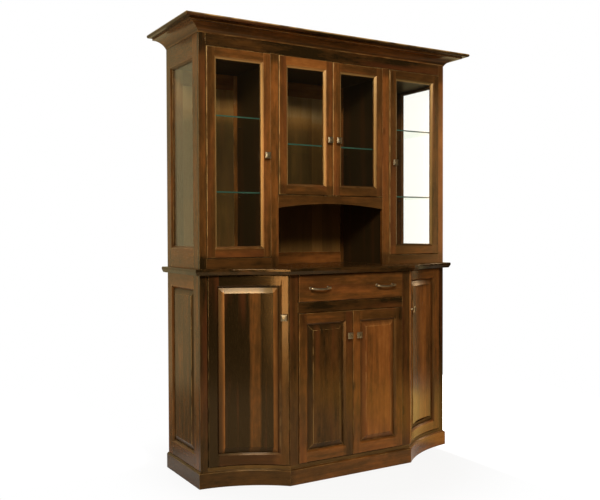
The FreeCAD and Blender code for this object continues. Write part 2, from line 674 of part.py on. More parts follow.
def crown():
    reach = CROWN_PROJECTION
    far_x = HALF_WIDTH + reach
    far_depth = CASE_DEPTH + reach
    front = moulding_face(lambda p: V(-far_x, y_at(CASE_DEPTH + p.x), p.y)).extrude(V(2 * far_x, 0, 0))
    side = moulding_face(lambda p: V(-HALF_WIDTH - p.x, BACK_Y, p.y)).extrude(V(0, -far_depth, 0))
    front = front.common(plan_prism([(-HALF_WIDTH, CASE_DEPTH), (-far_x, far_depth),
                                     (far_x, far_depth), (HALF_WIDTH, CASE_DEPTH)]))
    side = side.common(plan_prism([(-HALF_WIDTH, CASE_DEPTH), (-far_x, far_depth),
                                   (-far_x, 0), (-HALF_WIDTH, 0)]))
    save("crown_moulding", both_sides([side]) + [front])
    cap = block((-far_x, far_x), (0, far_depth), (BODY_TOP, TOTAL_HEIGHT))
    nose = [edge for edge in cap.Edges if edge.BoundBox.ZLength < CAP_THICKNESS / 2
            and edge.BoundBox.YMin < BACK_Y - CAP_THICKNESS]
    save("crown_cap", [cap.makeFillet(CAP_ROUND, nose)])


# Handles and hinges

def square(size):
    half = size / 2
    return -half, half, -half, half


def knob(point, turn):
    """Square knob with a low pyramid face on a round stem, standing out from a point."""
    stem = Part.makeCylinder(KNOB_STEM_DIAMETER / 2, KNOB_STEM_LENGTH, V(0, 0, 0), V(0, -1, 0))
    front = KNOB_RIM - KNOB_PROJECTION
    back = front + KNOB_RIM
    face = flare(square(KNOB_TIP), -KNOB_PROJECTION, square(KNOB_SIZE), front)
    rim = slab(square(KNOB_SIZE), front, back)
    neck = flare(square(KNOB_SIZE), back, square(KNOB_NECK), -KNOB_STEM_LENGTH)
    shape = stem.fuse(neck).fuse(rim).fuse(face)
    shape.rotate(V(0, 0, 0), UP, turn)
    shape.translate(point)
    return shape


def bow_pull(x, z, depth):
    """Bowed bar on two posts."""
    half = PULL_LENGTH / 2
    post = PULL_CENTRES / 2
    ends = PULL_END_PROJECTION
    crest = PULL_PROJECTION - PULL_ROD / 2
    path = Part.Arc(V(-half, -ends, 0), V(0, -crest, 0), V(half, -ends, 0))
    tangent = path.tangent(path.FirstParameter)[0]
    section = Part.Wire(Part.makeCircle(PULL_ROD / 2, V(-half, -ends, 0), tangent))
    shape = Part.Wire(path.toShape()).makePipeShell([section], True, False)
    for side in (-1, 1):
        shape = shape.fuse(Part.makeCylinder(PULL_POST / 2, ends, V(side * post, 0, 0), V(0, -1, 0)))
    shape.translate(V(x, y_at(depth), z))
    return shape


def hinge(x, y, z, rise, inward):
    """Leaf on a rail with a pin that rises or hangs from it into the door."""
    pin = Part.makeCylinder(PIN_DIAMETER / 2, LEAF_THICKNESS + PIN_LENGTH, V(x, y, z), V(0, 0, rise))
    near = x - inward * PIN_DIAMETER / 2
    far = x + inward * LEAF_LENGTH
    low = min(z, z + rise * LEAF_THICKNESS)
    leaf = Part.makeBox(abs(far - near), LEAF_WIDTH, LEAF_THICKNESS,
                        V(min(near, far), y - PIN_DIAMETER / 2, low))
    return leaf.fuse(pin)


HINGES = []
STOPS = []


def stop_peg(x, y, z):
    """Peg that stands just behind a closed door, near its free edge."""
    STOPS.append(Part.makeCylinder(STOP_DIAMETER / 2, STOP_HEIGHT, V(x, y, z), UP))


def hang(x, y, low, high, inward):
    """A lower and an upper hinge on one axis."""
    HINGES.append(hinge(x, y, low, 1, inward))
    HINGES.append(hinge(x, y, high, -1, inward))


# Doors

def flat_door(opening, free_gap, levels, depth, hinge_side, sizes):
    """Leaf for an opening, its rounded and bored blank, and the place of its lower left corner."""
    stile, rail, sticking = sizes
    gap_left = DOOR_GAP if hinge_side < 0 else free_gap
    width = opening[1] - opening[0] - DOOR_GAP - free_gap
    height = levels[1] - levels[0] - 2 * END_GAP
    leaf = Leaf(width, height, stile, stile, rail, rail, DOOR_THICKNESS, sticking)
    axis = HINGE_INSET if hinge_side < 0 else width - HINGE_INSET
    blank = rounded_blank(leaf).cut(pin_bores(axis, leaf))
    place = (opening[0] + gap_left, depth + DOOR_PROUD, levels[0] + END_GAP)
    hang(place[0] + axis, y_at(depth + DOOR_PROUD - HINGE_SETBACK), levels[0], levels[1], -hinge_side)
    free = width - STOP_EDGE_INSET if hinge_side < 0 else STOP_EDGE_INSET
    back = depth + DOOR_PROUD - DOOR_THICKNESS
    stop_peg(place[0] + free, y_at(back - STOP_CLEARANCE - STOP_DIAMETER / 2), levels[0])
    return leaf, blank, place


def door_knob(leaf, place, hinge_side, rise):
    """Knob near the free edge of a flat door, above its lower edge by rise."""
    u = leaf.width - KNOB_EDGE_INSET if hinge_side < 0 else KNOB_EDGE_INSET
    return knob(V(place[0] + u, y_at(place[1]), place[2] + rise), 0)


def glazed_door(name, opening, free_gap, levels, hinge_side, knob_rise):
    sizes = (HUTCH_DOOR_STILE, HUTCH_DOOR_RAIL, GLASS_STICKING)
    leaf, blank, place = flat_door(opening, free_gap, levels, CASE_DEPTH, hinge_side, sizes)
    save(name + "_door_frame", on_front(frame_members(blank, leaf), *place))
    save(name + "_door_glass", on_front([pane(leaf)], *place))
    save(name + "_door_beads", on_front(glazing_beads(leaf), *place))
    save(name + "_knob", [door_knob(leaf, place, hinge_side, knob_rise)])


def panelled_door(name, opening, levels, hinge_side):
    sizes = (BASE_DOOR_STILE, BASE_DOOR_RAIL, PANEL_STICKING)
    free_gap = MEETING_GAP / 2
    leaf, blank, place = flat_door(opening, free_gap, levels, CENTRE_DEPTH, hinge_side, sizes)
    save(name + "_door_frame", on_front(frame_members(blank, leaf), *place))
    save(name + "_door_panel", on_front([raised_panel(leaf)], *place))
    save(name + "_knob", [door_knob(leaf, place, hinge_side, leaf.height - BASE_KNOB_DROP)])


def hutch_doors():
    tall = (HUTCH_FLOOR_TOP, HUTCH_OPENING_TOP)
    short = (NICHE_TOP, HUTCH_OPENING_TOP)
    meeting = MEETING_GAP / 2
    glazed_door("hutch_left", (-POST_X, -TALL_OPENING_X), DOOR_GAP, tall, -1, TALL_KNOB_HEIGHT)
    glazed_door("hutch_centre_left", (-CENTRE_OPENING_X, 0), meeting, short, -1, CENTRE_KNOB_HEIGHT)
    glazed_door("hutch_centre_right", (0, CENTRE_OPENING_X), meeting, short, 1, CENTRE_KNOB_HEIGHT)
    glazed_door("hutch_right", (TALL_OPENING_X, POST_X), DOOR_GAP, tall, 1, TALL_KNOB_HEIGHT)


def base_centre_doors():
    levels = (BASE_FLOOR_TOP, DRAWER_RAIL_BOTTOM)
    panelled_door("base_centre_left", (-BLOCK_OPENING_X, 0), levels, -1)
    panelled_door("base_centre_right", (0, BLOCK_OPENING_X), levels, 1)


# Hollow-curved doors, worked out for the left bay

def along_curve(x, distance):
    """X reached by going a distance along the door's face from an X on it."""
    centre = curve_centre()
    radius = CURVE_RADIUS - DOOR_PROUD
    start = curve_at_x(x, DOOR_PROUD) - centre
    angle = math.atan2(start.y, start.x) - distance / radius
    return centre.x + radius * math.cos(angle)


def turned_ends(ends, grow):
    """The two X ends of a stretch of the curve, each moved outwards along it by grow."""
    return along_curve(ends[0], -grow), along_curve(ends[1], grow)


def curved_blank(ends, z):
    """Bent board of the door's outer size with its front edges rounded over."""
    back = DOOR_PROUD - DOOR_THICKNESS
    blank = curved_slab(ends, z, DOOR_PROUD, back)
    centre = curve_centre()
    limit = CURVE_RADIUS - (DOOR_PROUD + back) / 2
    front = []
    for edge in blank.Edges:
        reach = [math.hypot(v.X - centre.x, v.Y - centre.y) for v in edge.Vertexes]
        if max(reach) < limit:
            front.append(edge)
    return blank.makeFillet(DOOR_ROUND, front)


def curved_members(blank, ends, z, sight_ends, sight_z):
    """Two stiles and two bent rails around the opening of a hollow door."""
    back = DOOR_PROUD - DOOR_THICKNESS
    s = PANEL_STICKING
    wide_ends = turned_ends(sight_ends, s)
    wide_z = (sight_z[0] - s, sight_z[1] + s)
    bevelled = curved_flare(DOOR_PROUD, wide_ends, wide_z,
                            DOOR_PROUD - STICKING_DEPTH, sight_ends, sight_z)
    through = curved_slab(sight_ends, sight_z, DOOR_PROUD, back)
    rebate = curved_slab(turned_ends(sight_ends, REBATE_WIDTH),
                         (sight_z[0] - REBATE_WIDTH, sight_z[1] + REBATE_WIDTH),
                         DOOR_PROUD - SHOULDER, back)
    ring = blank.cut(bevelled).cut(through).cut(rebate)
    stiles = []
    for strip_ends in ((ends[0], sight_ends[0]), (sight_ends[1], ends[1])):
        stiles.append(ring.common(curved_slab(strip_ends, z, DOOR_PROUD, back)))
    rails = ring.cut(stiles[0]).cut(stiles[1])
    return [solid for part in stiles + [rails] for solid in part.Solids]


def curved_panel(sight_ends, sight_z):
    """Bent panel with a tongue in the rebate and a bevelled, raised field."""
    tongue_grow = REBATE_WIDTH - PANE_CLEARANCE
    tongue = curved_slab(turned_ends(sight_ends, tongue_grow),
                         (sight_z[0] - tongue_grow, sight_z[1] + tongue_grow),
                         DOOR_PROUD - SHOULDER, DOOR_PROUD - DOOR_THICKNESS)
    foot_ends = turned_ends(sight_ends, -PANE_CLEARANCE)
    foot_z = (sight_z[0] + PANE_CLEARANCE, sight_z[1] - PANE_CLEARANCE)
    field_ends = turned_ends(foot_ends, -PANEL_BEVEL)
    field_z = (foot_z[0] + PANEL_BEVEL, foot_z[1] - PANEL_BEVEL)
    step = DOOR_PROUD - PANEL_FIELD_SETBACK - PANEL_STEP
    bevel = curved_flare(step, field_ends, field_z, DOOR_PROUD - SHOULDER, foot_ends, foot_z)
    field = curved_slab(field_ends, field_z, DOOR_PROUD - PANEL_FIELD_SETBACK, step)
    return tongue.fuse(bevel).fuse(field).removeSplitter()


def curved_doors():
    ends = (-POST_X + DOOR_GAP, -HALF_CENTRE - DOOR_GAP)
    z = (BASE_FLOOR_TOP + END_GAP, COUNTER_UNDERSIDE - END_GAP)
    sight_ends = turned_ends(ends, -BASE_DOOR_STILE)
    sight_z = (z[0] + BASE_DOOR_RAIL, z[1] - BASE_DOOR_RAIL)
    axis = curve_at_x(ends[0] + HINGE_INSET, DOOR_PROUD)
    axis.y += HINGE_SETBACK
    radius = PIN_DIAMETER / 2 + PIN_CLEARANCE
    depth = PIN_LENGTH + PIN_END_CLEARANCE
    low = Part.makeCylinder(radius, depth, V(axis.x, axis.y, z[0]), UP)
    high = Part.makeCylinder(radius, depth, V(axis.x, axis.y, z[1]), V(0, 0, -1))
    blank = curved_blank(ends, z).cut(low).cut(high)
    members = curved_members(blank, ends, z, sight_ends, sight_z)
    panel = curved_panel(sight_ends, sight_z)
    grip = curve_at_x(along_curve(ends[1], -KNOB_EDGE_INSET), DOOR_PROUD)
    outward = (curve_centre() - grip).normalize()
    bend = CURVE_RADIUS - DOOR_PROUD
    lift = bend - math.sqrt(bend ** 2 - (KNOB_STEM_DIAMETER / 2) ** 2)
    turn = math.degrees(math.atan2(outward.x, -outward.y))
    handle = knob(grip + outward * lift + V(0, 0, z[1] - CURVED_KNOB_DROP), turn)
    save("base_left_door_frame", members)
    save("base_left_door_panel", [panel])
    save("base_left_knob", [handle])
    save("base_right_door_frame", [mirrored(member) for member in members])
    save("base_right_door_panel", [mirrored(panel)])
    save("base_right_knob", [mirrored(handle)])
    behind = DOOR_PROUD - DOOR_THICKNESS - STOP_CLEARANCE - STOP_DIAMETER / 2
    stop = curve_at_x(along_curve(ends[1], -STOP_EDGE_INSET), behind)
    stop_peg(stop.x, stop.y, BASE_FLOOR_TOP)
    stop_peg(-stop.x, stop.y, BASE_FLOOR_TOP)
    hang(axis.x, axis.y, BASE_FLOOR_TOP, COUNTER_UNDERSIDE, 1)
    hang(-axis.x, axis.y, BASE_FLOOR_TOP, COUNTER_UNDERSIDE, -1)


# Drawer

def drawer():
    face_depth = CENTRE_DEPTH + DOOR_PROUD
    leaf = Leaf(2 * (BLOCK_OPENING_X - DOOR_GAP), DRAWER_OPENING - 2 * END_GAP,
                0, 0, 0, 0, DOOR_THICKNESS, 0)
    place = (DOOR_GAP - BLOCK_OPENING_X, face_depth, DRAWER_RAIL_TOP + END_GAP)
    save("drawer_front", on_front([rounded_blank(leaf)], *place))
    z = place[2] + leaf.height / 2
    pull = bow_pull(-PULL_SPREAD / 2, z, face_depth)
    save("drawer_pulls", both_sides([pull]))

    half = BLOCK_OPENING_X - DRAWER_SIDE_GAP
    inside = half - DRAWER_SIDE
    front = face_depth - DOOR_THICKNESS
    back = BASE_BACK_THICKNESS + DRAWER_BACK_GAP
    low = DRAWER_RAIL_TOP + DRAWER_LIFT
    level = (low, low + DRAWER_BOX_HEIGHT)
    ends = [block((-inside, inside), (front - DRAWER_SIDE, front), level),
            block((-inside, inside), (back, back + DRAWER_SIDE), level)]
    save("drawer_box", both_sides([block((-half, -inside), (back, front), level)]) + ends)
    rise = low + DRAWER_BOTTOM_RISE
    save("drawer_bottom", [block((-inside, inside), (back + DRAWER_SIDE, front - DRAWER_SIDE),
                                 (rise, rise + DRAWER_BOTTOM))])

    ledge_top = low - RUNNER_CLEARANCE
    run = (BASE_BACK_THICKNESS, BLOCK_BACK)
    ledge = block((-BASE_PARTITION_X, RUNNER_OVERLAP - half), run, (ledge_top - RUNNER_THICKNESS, ledge_top))
    guide = block((-BASE_PARTITION_X, -half - GUIDE_CLEARANCE), run, (ledge_top, ledge_top + GUIDE_HEIGHT))
    kicker = block((-BASE_PARTITION_X, RUNNER_OVERLAP - half), run,
                   (level[1] + GUIDE_CLEARANCE, COUNTER_UNDERSIDE))
    save("drawer_runners", both_sides([ledge, guide, kicker]))


os.makedirs("parts", exist_ok=True)
plinth()
base_floor()
base_sides()
base_corner_posts()
base_inside()
base_shelves()
countertop()
hutch_sides()
hutch_face()
arched_apron()
hutch_inside()
hutch_back()
glass_shelves()
shelf_pins()
crown()
hutch_doors()
base_centre_doors()
curved_doors()
drawer()
save("hinges", HINGES)
save("door_stops", STOPS)
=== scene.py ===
# %% [markdown]
# A dresser with a glazed hutch stands finished as plain solids. This lesson gives it its looks:
# the camera and the studio first, then stained wood, glass and metal, then each board with its
# own grain and softened edges, and last the small hardware that repeats.

# %% Load the cabinet
import bmesh
import bpy
import json
import math
import random
from mathutils import Matrix, Vector

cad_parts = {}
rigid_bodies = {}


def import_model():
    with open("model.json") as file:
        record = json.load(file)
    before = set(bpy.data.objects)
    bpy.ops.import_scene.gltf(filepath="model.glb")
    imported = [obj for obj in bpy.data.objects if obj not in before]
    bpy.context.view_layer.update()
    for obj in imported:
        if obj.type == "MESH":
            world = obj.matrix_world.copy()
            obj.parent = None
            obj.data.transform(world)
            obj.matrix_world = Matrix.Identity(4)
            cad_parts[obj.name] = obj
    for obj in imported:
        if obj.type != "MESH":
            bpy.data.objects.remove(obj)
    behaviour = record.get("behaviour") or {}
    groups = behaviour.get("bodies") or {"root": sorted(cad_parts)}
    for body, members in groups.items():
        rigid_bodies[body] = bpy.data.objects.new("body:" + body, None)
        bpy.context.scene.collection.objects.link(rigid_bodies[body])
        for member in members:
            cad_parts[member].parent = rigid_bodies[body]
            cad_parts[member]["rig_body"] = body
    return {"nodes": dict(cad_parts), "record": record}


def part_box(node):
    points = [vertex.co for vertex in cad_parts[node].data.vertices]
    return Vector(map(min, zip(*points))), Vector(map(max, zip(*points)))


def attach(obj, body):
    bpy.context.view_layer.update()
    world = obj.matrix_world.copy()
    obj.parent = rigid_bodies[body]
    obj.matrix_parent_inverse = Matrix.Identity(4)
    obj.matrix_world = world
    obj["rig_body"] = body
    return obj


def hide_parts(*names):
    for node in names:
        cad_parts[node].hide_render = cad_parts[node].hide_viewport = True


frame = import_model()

NODES = frame["nodes"]
SLOTS = {part["node"]: part["material_slot"] for part in frame["record"]["subparts"]}
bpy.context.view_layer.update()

# %% [markdown]
# The picture was taken from the left, a little above the counter. A camera can be set by eye, but
# straight furniture gives enough edges to work out its place and lens exactly. The three turns are
# applied as a photographer would make them: swing left or right, tip up or down, then level.

# %% Camera
IMAGE_WIDTH = 600
FOCAL_PIXELS = 773.54
SENSOR = 36.0
CAMERA_PLACE = Vector((-2.1314, -3.3398, 1.1674))
CAMERA_SWING = 0.539
CAMERA_TIP = -0.0221
CAMERA_LEVEL = -0.003


def make_camera():
    camera = bpy.data.objects.new("camera", bpy.data.cameras.new("camera"))
    camera.data.sensor_width = SENSOR
    camera.data.lens = FOCAL_PIXELS * SENSOR / IMAGE_WIDTH
    swing = Matrix.Rotation(-CAMERA_SWING, 4, "Z")
    tip = Matrix.Rotation(math.pi / 2 + CAMERA_TIP, 4, "X")
    level = Matrix.Rotation(CAMERA_LEVEL, 4, "Z")
    camera.matrix_world = Matrix.Translation(CAMERA_PLACE) @ swing @ tip @ level
    bpy.context.scene.collection.objects.link(camera)
    bpy.context.scene.camera = camera
    return camera


camera = make_camera()
bpy.context.scene.view_settings.view_transform = "Standard"
print("lens in millimetres:", round(camera.data.lens, 2))

# %% [markdown]
# Finishes are recipes of many small sums. Wiring each sum by hand hides the recipe, so one class
# wraps a socket and turns Python arithmetic into Math nodes, and one method adds any other node.

# %% Node arithmetic
class Wire:
    """An output socket. Arithmetic on it adds Math nodes to its tree."""

    def __init__(self, tree, socket):
        self.tree = tree
        self.socket = socket

    def sum(self, operation, first, second):
        return self.tree.node("ShaderNodeMath", {"operation": operation}, {0: first, 1: second})

    def __add__(self, other):
        return self.sum("ADD", self, other)

    def __radd__(self, other):
        return self.sum("ADD", other, self)

    def __sub__(self, other):
        return self.sum("SUBTRACT", self, other)

    def __rsub__(self, other):
        return self.sum("SUBTRACT", other, self)

    def __mul__(self, other):
        return self.sum("MULTIPLY", self, other)

    def __rmul__(self, other):
        return self.sum("MULTIPLY", other, self)

    def __truediv__(self, other):
        return self.sum("DIVIDE", self, other)

    def __rtruediv__(self, other):
        return self.sum("DIVIDE", other, self)

    def __pow__(self, other):
        return self.sum("POWER", self, other)

    def __rpow__(self, other):
        return self.sum("POWER", other, self)


class Tree:
    """A node tree with one way to add a node."""

    def __init__(self, tree):
        self.tree = tree
        self.tree.nodes.clear()

    def node(self, kind, settings, sockets, out=0):
        """Add a node, set it up, fill or link its sockets and hand back one output."""
        node = self.tree.nodes.new(kind)
        for key, value in settings.items():
            if key == "stops":
                lay_stops(node.color_ramp, value)
            else:
                setattr(node, key, value)
        for key, value in sockets.items():
            if isinstance(value, Wire):
                self.tree.links.new(value.socket, node.inputs[key])
            else:
                node.inputs[key].default_value = value
        return Wire(self, node.outputs[out]) if node.outputs else None

    def split(self, vector):
        """The three parts of a vector."""
        part = self.node("ShaderNodeSeparateXYZ", {}, {"Vector": vector})
        return [Wire(self, output) for output in part.socket.node.outputs]

    def join(self, x, y, z):
        """A vector from its three parts."""
        return self.node("ShaderNodeCombineXYZ", {}, {"X": x, "Y": y, "Z": z})


def lay_stops(color_ramp, stops):
    """Lay the colour stops of a ramp, each a place and a colour."""
    while len(color_ramp.elements) < len(stops):
        color_ramp.elements.new(1.0)
    for element, (place, colour) in zip(color_ramp.elements, stops):
        element.position = place
        element.color = colour


print("sums that a wire knows:", sum(name.startswith("__r") for name in vars(Wire)))

# %% [markdown]
# A finish and the background are trees of the same kind. What they ask for again and again, such
# as noise, a smooth step, a ramp of colours or a mix, gets a method of its own, so that a recipe
# reads as one. Colours are written as they show on a screen and then turned into light.

# %% Shader trees
class Shader(Tree):
    """The node tree of a material or of the background."""

    def __init__(self, owner):
        owner.use_nodes = True
        self.owner = owner
        super().__init__(owner.node_tree)

    def attribute(self, name, out):
        return self.node("ShaderNodeAttribute", {"attribute_name": name}, {}, out)

    def light_path(self, question):
        return self.node("ShaderNodeLightPath", {}, {}, question)

    def noise(self, vector, scale, detail=3.0, roughness=0.55):
        """Noise over a space stretched by a scale for each axis, as a value from 0 to 1."""
        stretched = self.node("ShaderNodeMapping", {}, {"Vector": vector, "Scale": scale})
        sockets = {"Vector": stretched, "Scale": 1.0, "Detail": detail, "Roughness": roughness}
        return self.node("ShaderNodeTexNoise", {}, sockets)

    def between(self, value, low, high):
        """How far a value has gone from low to high, held between 0 and 1."""
        sockets = {"Value": value, "From Min": low, "From Max": high}
        return self.node("ShaderNodeMapRange", {"interpolation_type": "SMOOTHSTEP"}, sockets)

    def ramp(self, value, stops):
        return self.node("ShaderNodeValToRGB", {"stops": stops}, {"Fac": value})

    def mix(self, share, first, second):
        """Mix two colours. A share below 0 leaves the first as it is."""
        return self.node("ShaderNodeMix", {"data_type": "RGBA"}, {0: share, 6: first, 7: second}, 2)

    def bump(self, height, strength, distance):
        return self.node("ShaderNodeBump", {}, {"Height": height, "Strength": strength,
                                                "Distance": distance})

    def surface(self, sockets):
        """End a material in one surface and hand the material back."""
        bsdf = self.node("ShaderNodeBsdfPrincipled", {}, sockets)
        return self.end(bsdf)

    def end(self, surface):
        self.node("ShaderNodeOutputMaterial", {}, {"Surface": surface})
        return self.owner


def shown(red, green, blue):
    """A colour as it shows on a screen, from 0 to 255, turned into light."""
    steps = [value / 255 for value in (red, green, blue)]
    light = [s / 12.92 if s <= 0.04045 else ((s + 0.055) / 1.055) ** 2.4 for s in steps]
    return (*light, 1.0)


WHITE = (1.0, 1.0, 1.0, 1.0)
print("half grey in light:", round(shown(128, 128, 128)[0], 3))

# %% [markdown]
# A catalogue picture floats the furniture on white. The floor is a real pale floor for every ray
# that carries light, so it keeps a soft shadow, and the camera sees it fade to the white of the
# background. The room in front of the cabinet is dark, as a studio is behind its lamps. That keeps
# the dark stain deep, because lacquer mirrors whatever stands opposite it. Only the wall behind and
# two parts of the floor, on the right and behind on the left, are bright in the mirror, and the
# floor only at a flat angle. A pane holds back a little light, so white is given back behind it.

# %% Floor and background
FLOOR_RADIUS = 2.6
FLOOR_SIDES = 96
FLOOR_DROP = 0.0005
FLOOR_CLEAR = 1.1            # distance at which the floor has faded to white
FLOOR_PAINT = shown(214, 210, 204)
SHADOW_SHARE = 0.14          # how much of the real floor the camera sees close to the plinth
PANE_GAIN = 0.055            # white given back for each face of glass that is looked through
ROOM_GLOW = 0.08             # soft light from all round
WALL_TINT = (1.0, 0.82, 0.43, 1.0)
WALL_GLOW = 0.58             # wall behind, as the lacquer mirrors it
WALL_RISE = (0.0, 0.6)       # how far back a ray leads, from no wall to the full wall
FRONT_GLOW = 0.03            # dark room in front, as glass and lacquer mirror it
FLOOR_TINT = (1.0, 0.66, 0.20, 1.0)
FLOOR_GLOW = 4.4             # floor on the right, as the lacquer mirrors it at a flat angle
RIGHT_STARTS = (0.62, 0.80)  # metres to the right in which the floor's glow comes in
RIGHT_ENDS = (1.9, 2.5)      # and in which it goes out again
BACK_STARTS = (0.3, 0.7)     # metres to the back in which the glow behind comes in
LEFT_STARTS = (0.7, 0.9)     # and metres to the left
FLAT_POWER = 4               # keeps the floor's glow to flat angles


def pale_floor():
    """Floor paint that the camera sees as white and the lacquer sees as a glow."""
    shader = Shader(bpy.data.materials.new("pale_floor"))
    place = shader.node("ShaderNodeTexCoord", {}, {}, "Object")
    reach = shader.node("ShaderNodeVectorMath", {"operation": "LENGTH"}, {0: place}, "Value")
    rightward, backward = shader.split(place)[:2]
    near = 1 - shader.between(reach, FLOOR_CLEAR / 2, FLOOR_CLEAR)
    right = shader.between(rightward, *RIGHT_STARTS) - shader.between(rightward, *RIGHT_ENDS)
    behind = shader.between(backward, *BACK_STARTS) * shader.between(0 - rightward, *LEFT_STARTS)
    seen = shader.light_path("Is Camera Ray")
    mirrored = shader.light_path("Is Glossy Ray") * (right + behind)
    flat = shader.node("ShaderNodeLayerWeight", {}, {"Blend": 0.5}, "Facing") ** FLAT_POWER
    level = seen + flat * (FLOOR_GLOW * right + WALL_GLOW * behind)
    tint = shader.mix(seen, shader.mix(behind, FLOOR_TINT, WALL_TINT), WHITE)
    glow = shader.node("ShaderNodeEmission", {}, {"Color": tint, "Strength": level})
    paint = shader.node("ShaderNodeBsdfDiffuse", {}, {"Color": FLOOR_PAINT})
    share = seen * (1 - SHADOW_SHARE * near) + mirrored
    return shader.end(shader.node("ShaderNodeMixShader", {}, {0: share, 1: paint, 2: glow}))


def make_floor():
    mesh = bpy.data.meshes.new("floor")
    build = bmesh.new()
    bmesh.ops.create_circle(build, cap_ends=True, segments=FLOOR_SIDES, radius=FLOOR_RADIUS)
    build.to_mesh(mesh)
    build.free()
    mesh.transform(Matrix.Translation((0, 0, -FLOOR_DROP)))
    mesh.materials.append(pale_floor())
    floor = bpy.data.objects.new("floor", mesh)
    bpy.context.scene.collection.objects.link(floor)


def make_background():
    world = bpy.data.worlds.new("studio")
    bpy.context.scene.world = world
    sky = Shader(world)
    way = sky.node("ShaderNodeTexCoord", {}, {}, "Generated")
    wall = WALL_GLOW * sky.between(sky.split(way)[1], *WALL_RISE)
    glossy = sky.light_path("Is Glossy Ray")
    seen = sky.light_path("Is Camera Ray") * (1 + PANE_GAIN * sky.light_path("Transparent Depth"))
    lit = ROOM_GLOW * sky.light_path("Is Diffuse Ray")
    sockets = {"Color": sky.mix(glossy, WHITE, WALL_TINT),
               "Strength": seen + glossy * (wall + FRONT_GLOW) + lit}
    glow = sky.node("ShaderNodeBackground", {}, sockets)
    sky.node("ShaderNodeOutputWorld", {}, {"Surface": glow})


make_floor()
make_background()
print("floor radius in metres:", FLOOR_RADIUS)

# %% [markdown]
# Soft boxes light the front. The key stands high in front, so that each rail throws a short shadow
# on the panel below it. Three on the left are there only to be mirrored: two gild the bevels that
# face left, and the one above draws a line along the low rail of the left door. One on the right
# catches the bevels that face away from the camera, and a narrow strip gives the far stiles their
# sheen. The overhead, the back and the left fill only lift the shadows, and nothing mirrors them.

# %% Lamps
def soft_box(name, place, target, size, power, colour):
    light = bpy.data.lights.new(name, "AREA")
    light.color = colour
    light.shape = "RECTANGLE"
    light.size = size[0]
    light.size_y = size[1]
    light.energy = power
    lamp = bpy.data.objects.new(name, light)
    lamp.location = place
    lamp.rotation_euler = (Vector(target) - Vector(place)).to_track_quat("-Z", "Y").to_euler()
    lamp.visible_camera = False
    bpy.context.scene.collection.objects.link(lamp)
    print(name, "at", place, "watts", power)


PLAIN = (1.0, 0.97, 0.92)
WARM = (1.0, 0.72, 0.42)
soft_box("key", (-1.6, -3.1, 3.1), (-0.1, -0.2, 1.3), (1.8, 0.65), 135, PLAIN)
soft_box("left_high", (-2.95, -3.05, 2.0), (-0.2, -0.1, 1.6), (1.0, 1.2), 42, WARM)
soft_box("left_low", (-3.35, -2.55, 0.55), (-0.4, -0.2, 0.6), (0.9, 0.9), 28, WARM)
soft_box("left_above", (-1.5, -1.9, 4.4), (-0.5, -0.17, 0.14), (0.9, 0.7), 30, PLAIN)
for name in ("left_high", "left_low", "left_above"):
    bpy.data.objects[name].visible_diffuse = False
soft_box("overhead", (0.6, -1.2, 4.4), (0.0, 0.0, 1.0), (2.6, 0.6), 50, PLAIN)
soft_box("right", (3.5, 0.45, 1.9), (0.0, 0.1, 1.6), (0.5, 1.1), 13, WARM)
soft_box("strip", (3.1, -2.8, 1.6), (0.6, 0.0, 1.5), (0.35, 1.8), 8, WARM)
soft_box("back", (0.0, 3.4, 2.2), (0.0, 0.3, 1.1), (1.2, 0.8), 60, PLAIN)
soft_box("left_fill", (-3.6, 0.4, 1.7), (-0.8, 0.1, 1.1), (1.2, 1.2), 15, PLAIN)
for name in ("overhead", "back", "left_fill"):
    bpy.data.objects[name].visible_glossy = False

# %% [markdown]
# The wood is stained cherry: a dark ground, redder streaks, and a figure that runs along each
# board. Every board carries its own measure of across, through and along, so the same recipe gives
# upright grain on a stile and level grain on a rail. Wide panels are glued up from staves, each
# from another part of the tree. The recesses are darkened, partly by a dark glaze that is wiped
# over the stain, stays there and dulls them, and partly as painted shade. Pale wood shows at edges,
# partly as wear and partly as painted highlight, and in the recesses of the glazed doors as painted
# highlight. The lacquer on top takes a golden tint from the stain below it. Inside the cabinet the
# stain is greener, calmer and less polished.

# %% Stained wood
STAIN_DARK = shown(32, 21, 7)
STAIN_STOPS = [(0.0, STAIN_DARK), (0.30, shown(82, 50, 20)), (0.54, shown(126, 73, 30)),
               (0.75, shown(152, 96, 44)), (1.0, shown(190, 142, 88))]
INSIDE_STOPS = [(0.0, shown(30, 22, 8)), (0.30, shown(76, 54, 24)), (0.54, shown(116, 80, 36)),
                (0.75, shown(142, 102, 52)), (1.0, shown(180, 146, 96))]
STAIN_RED = shown(108, 54, 26)
# Glaze in the recesses, which also stands for painted shade there.
GLAZE_AND_SHADE = shown(20, 11, 3)
# Pale wood for wear, and for painted highlights on edges and in the recesses of the glazed doors.
PALE_WEAR_AND_HIGHLIGHT = shown(222, 176, 104)
LACQUER_TINT = (1.0, 0.62, 0.26, 1.0)
RAMP_LENGTH = 0.75           # share of the ramp that tones from 0 to 1 take up
STAVE_WIDTH = 0.066
STAVE_SHIFT = 9              # metres along the log between the staves, at most
STAVE_TONES = 0.3            # between the darkest stave and the lightest
FIGURE = (30.0, 30.0, 3.0)   # scales of noise across, through and along the grain
CLOUD = (6.0, 6.0, 3.0)
MOTTLE = (46.0, 46.0, 20.0)
LINES = (330.0, 330.0, 5.0)
PORES = (900.0, 900.0, 26.0)
STREAKS = (12.0, 12.0, 1.2)
KNOTS = (9.0, 9.0, 4.0)
PATCHES = (40.0, 40.0, 14.0)
RED_SHARE = 0.35
PORE_SHARE = 0.3
KNOT_SHARE = 0.3
# Shares of the dark of glaze and painted shade, and of the pale of wear and painted highlight.
GLAZE_AND_SHADE_SHARE = 0.75
RECESS_HIGHLIGHT_SHARE = 0.5           # painted highlight: pale wood in a recess in place of the glaze
WEAR_AND_HIGHLIGHT_SHARE = 0.6
GLAZE_DULLS = 0.12


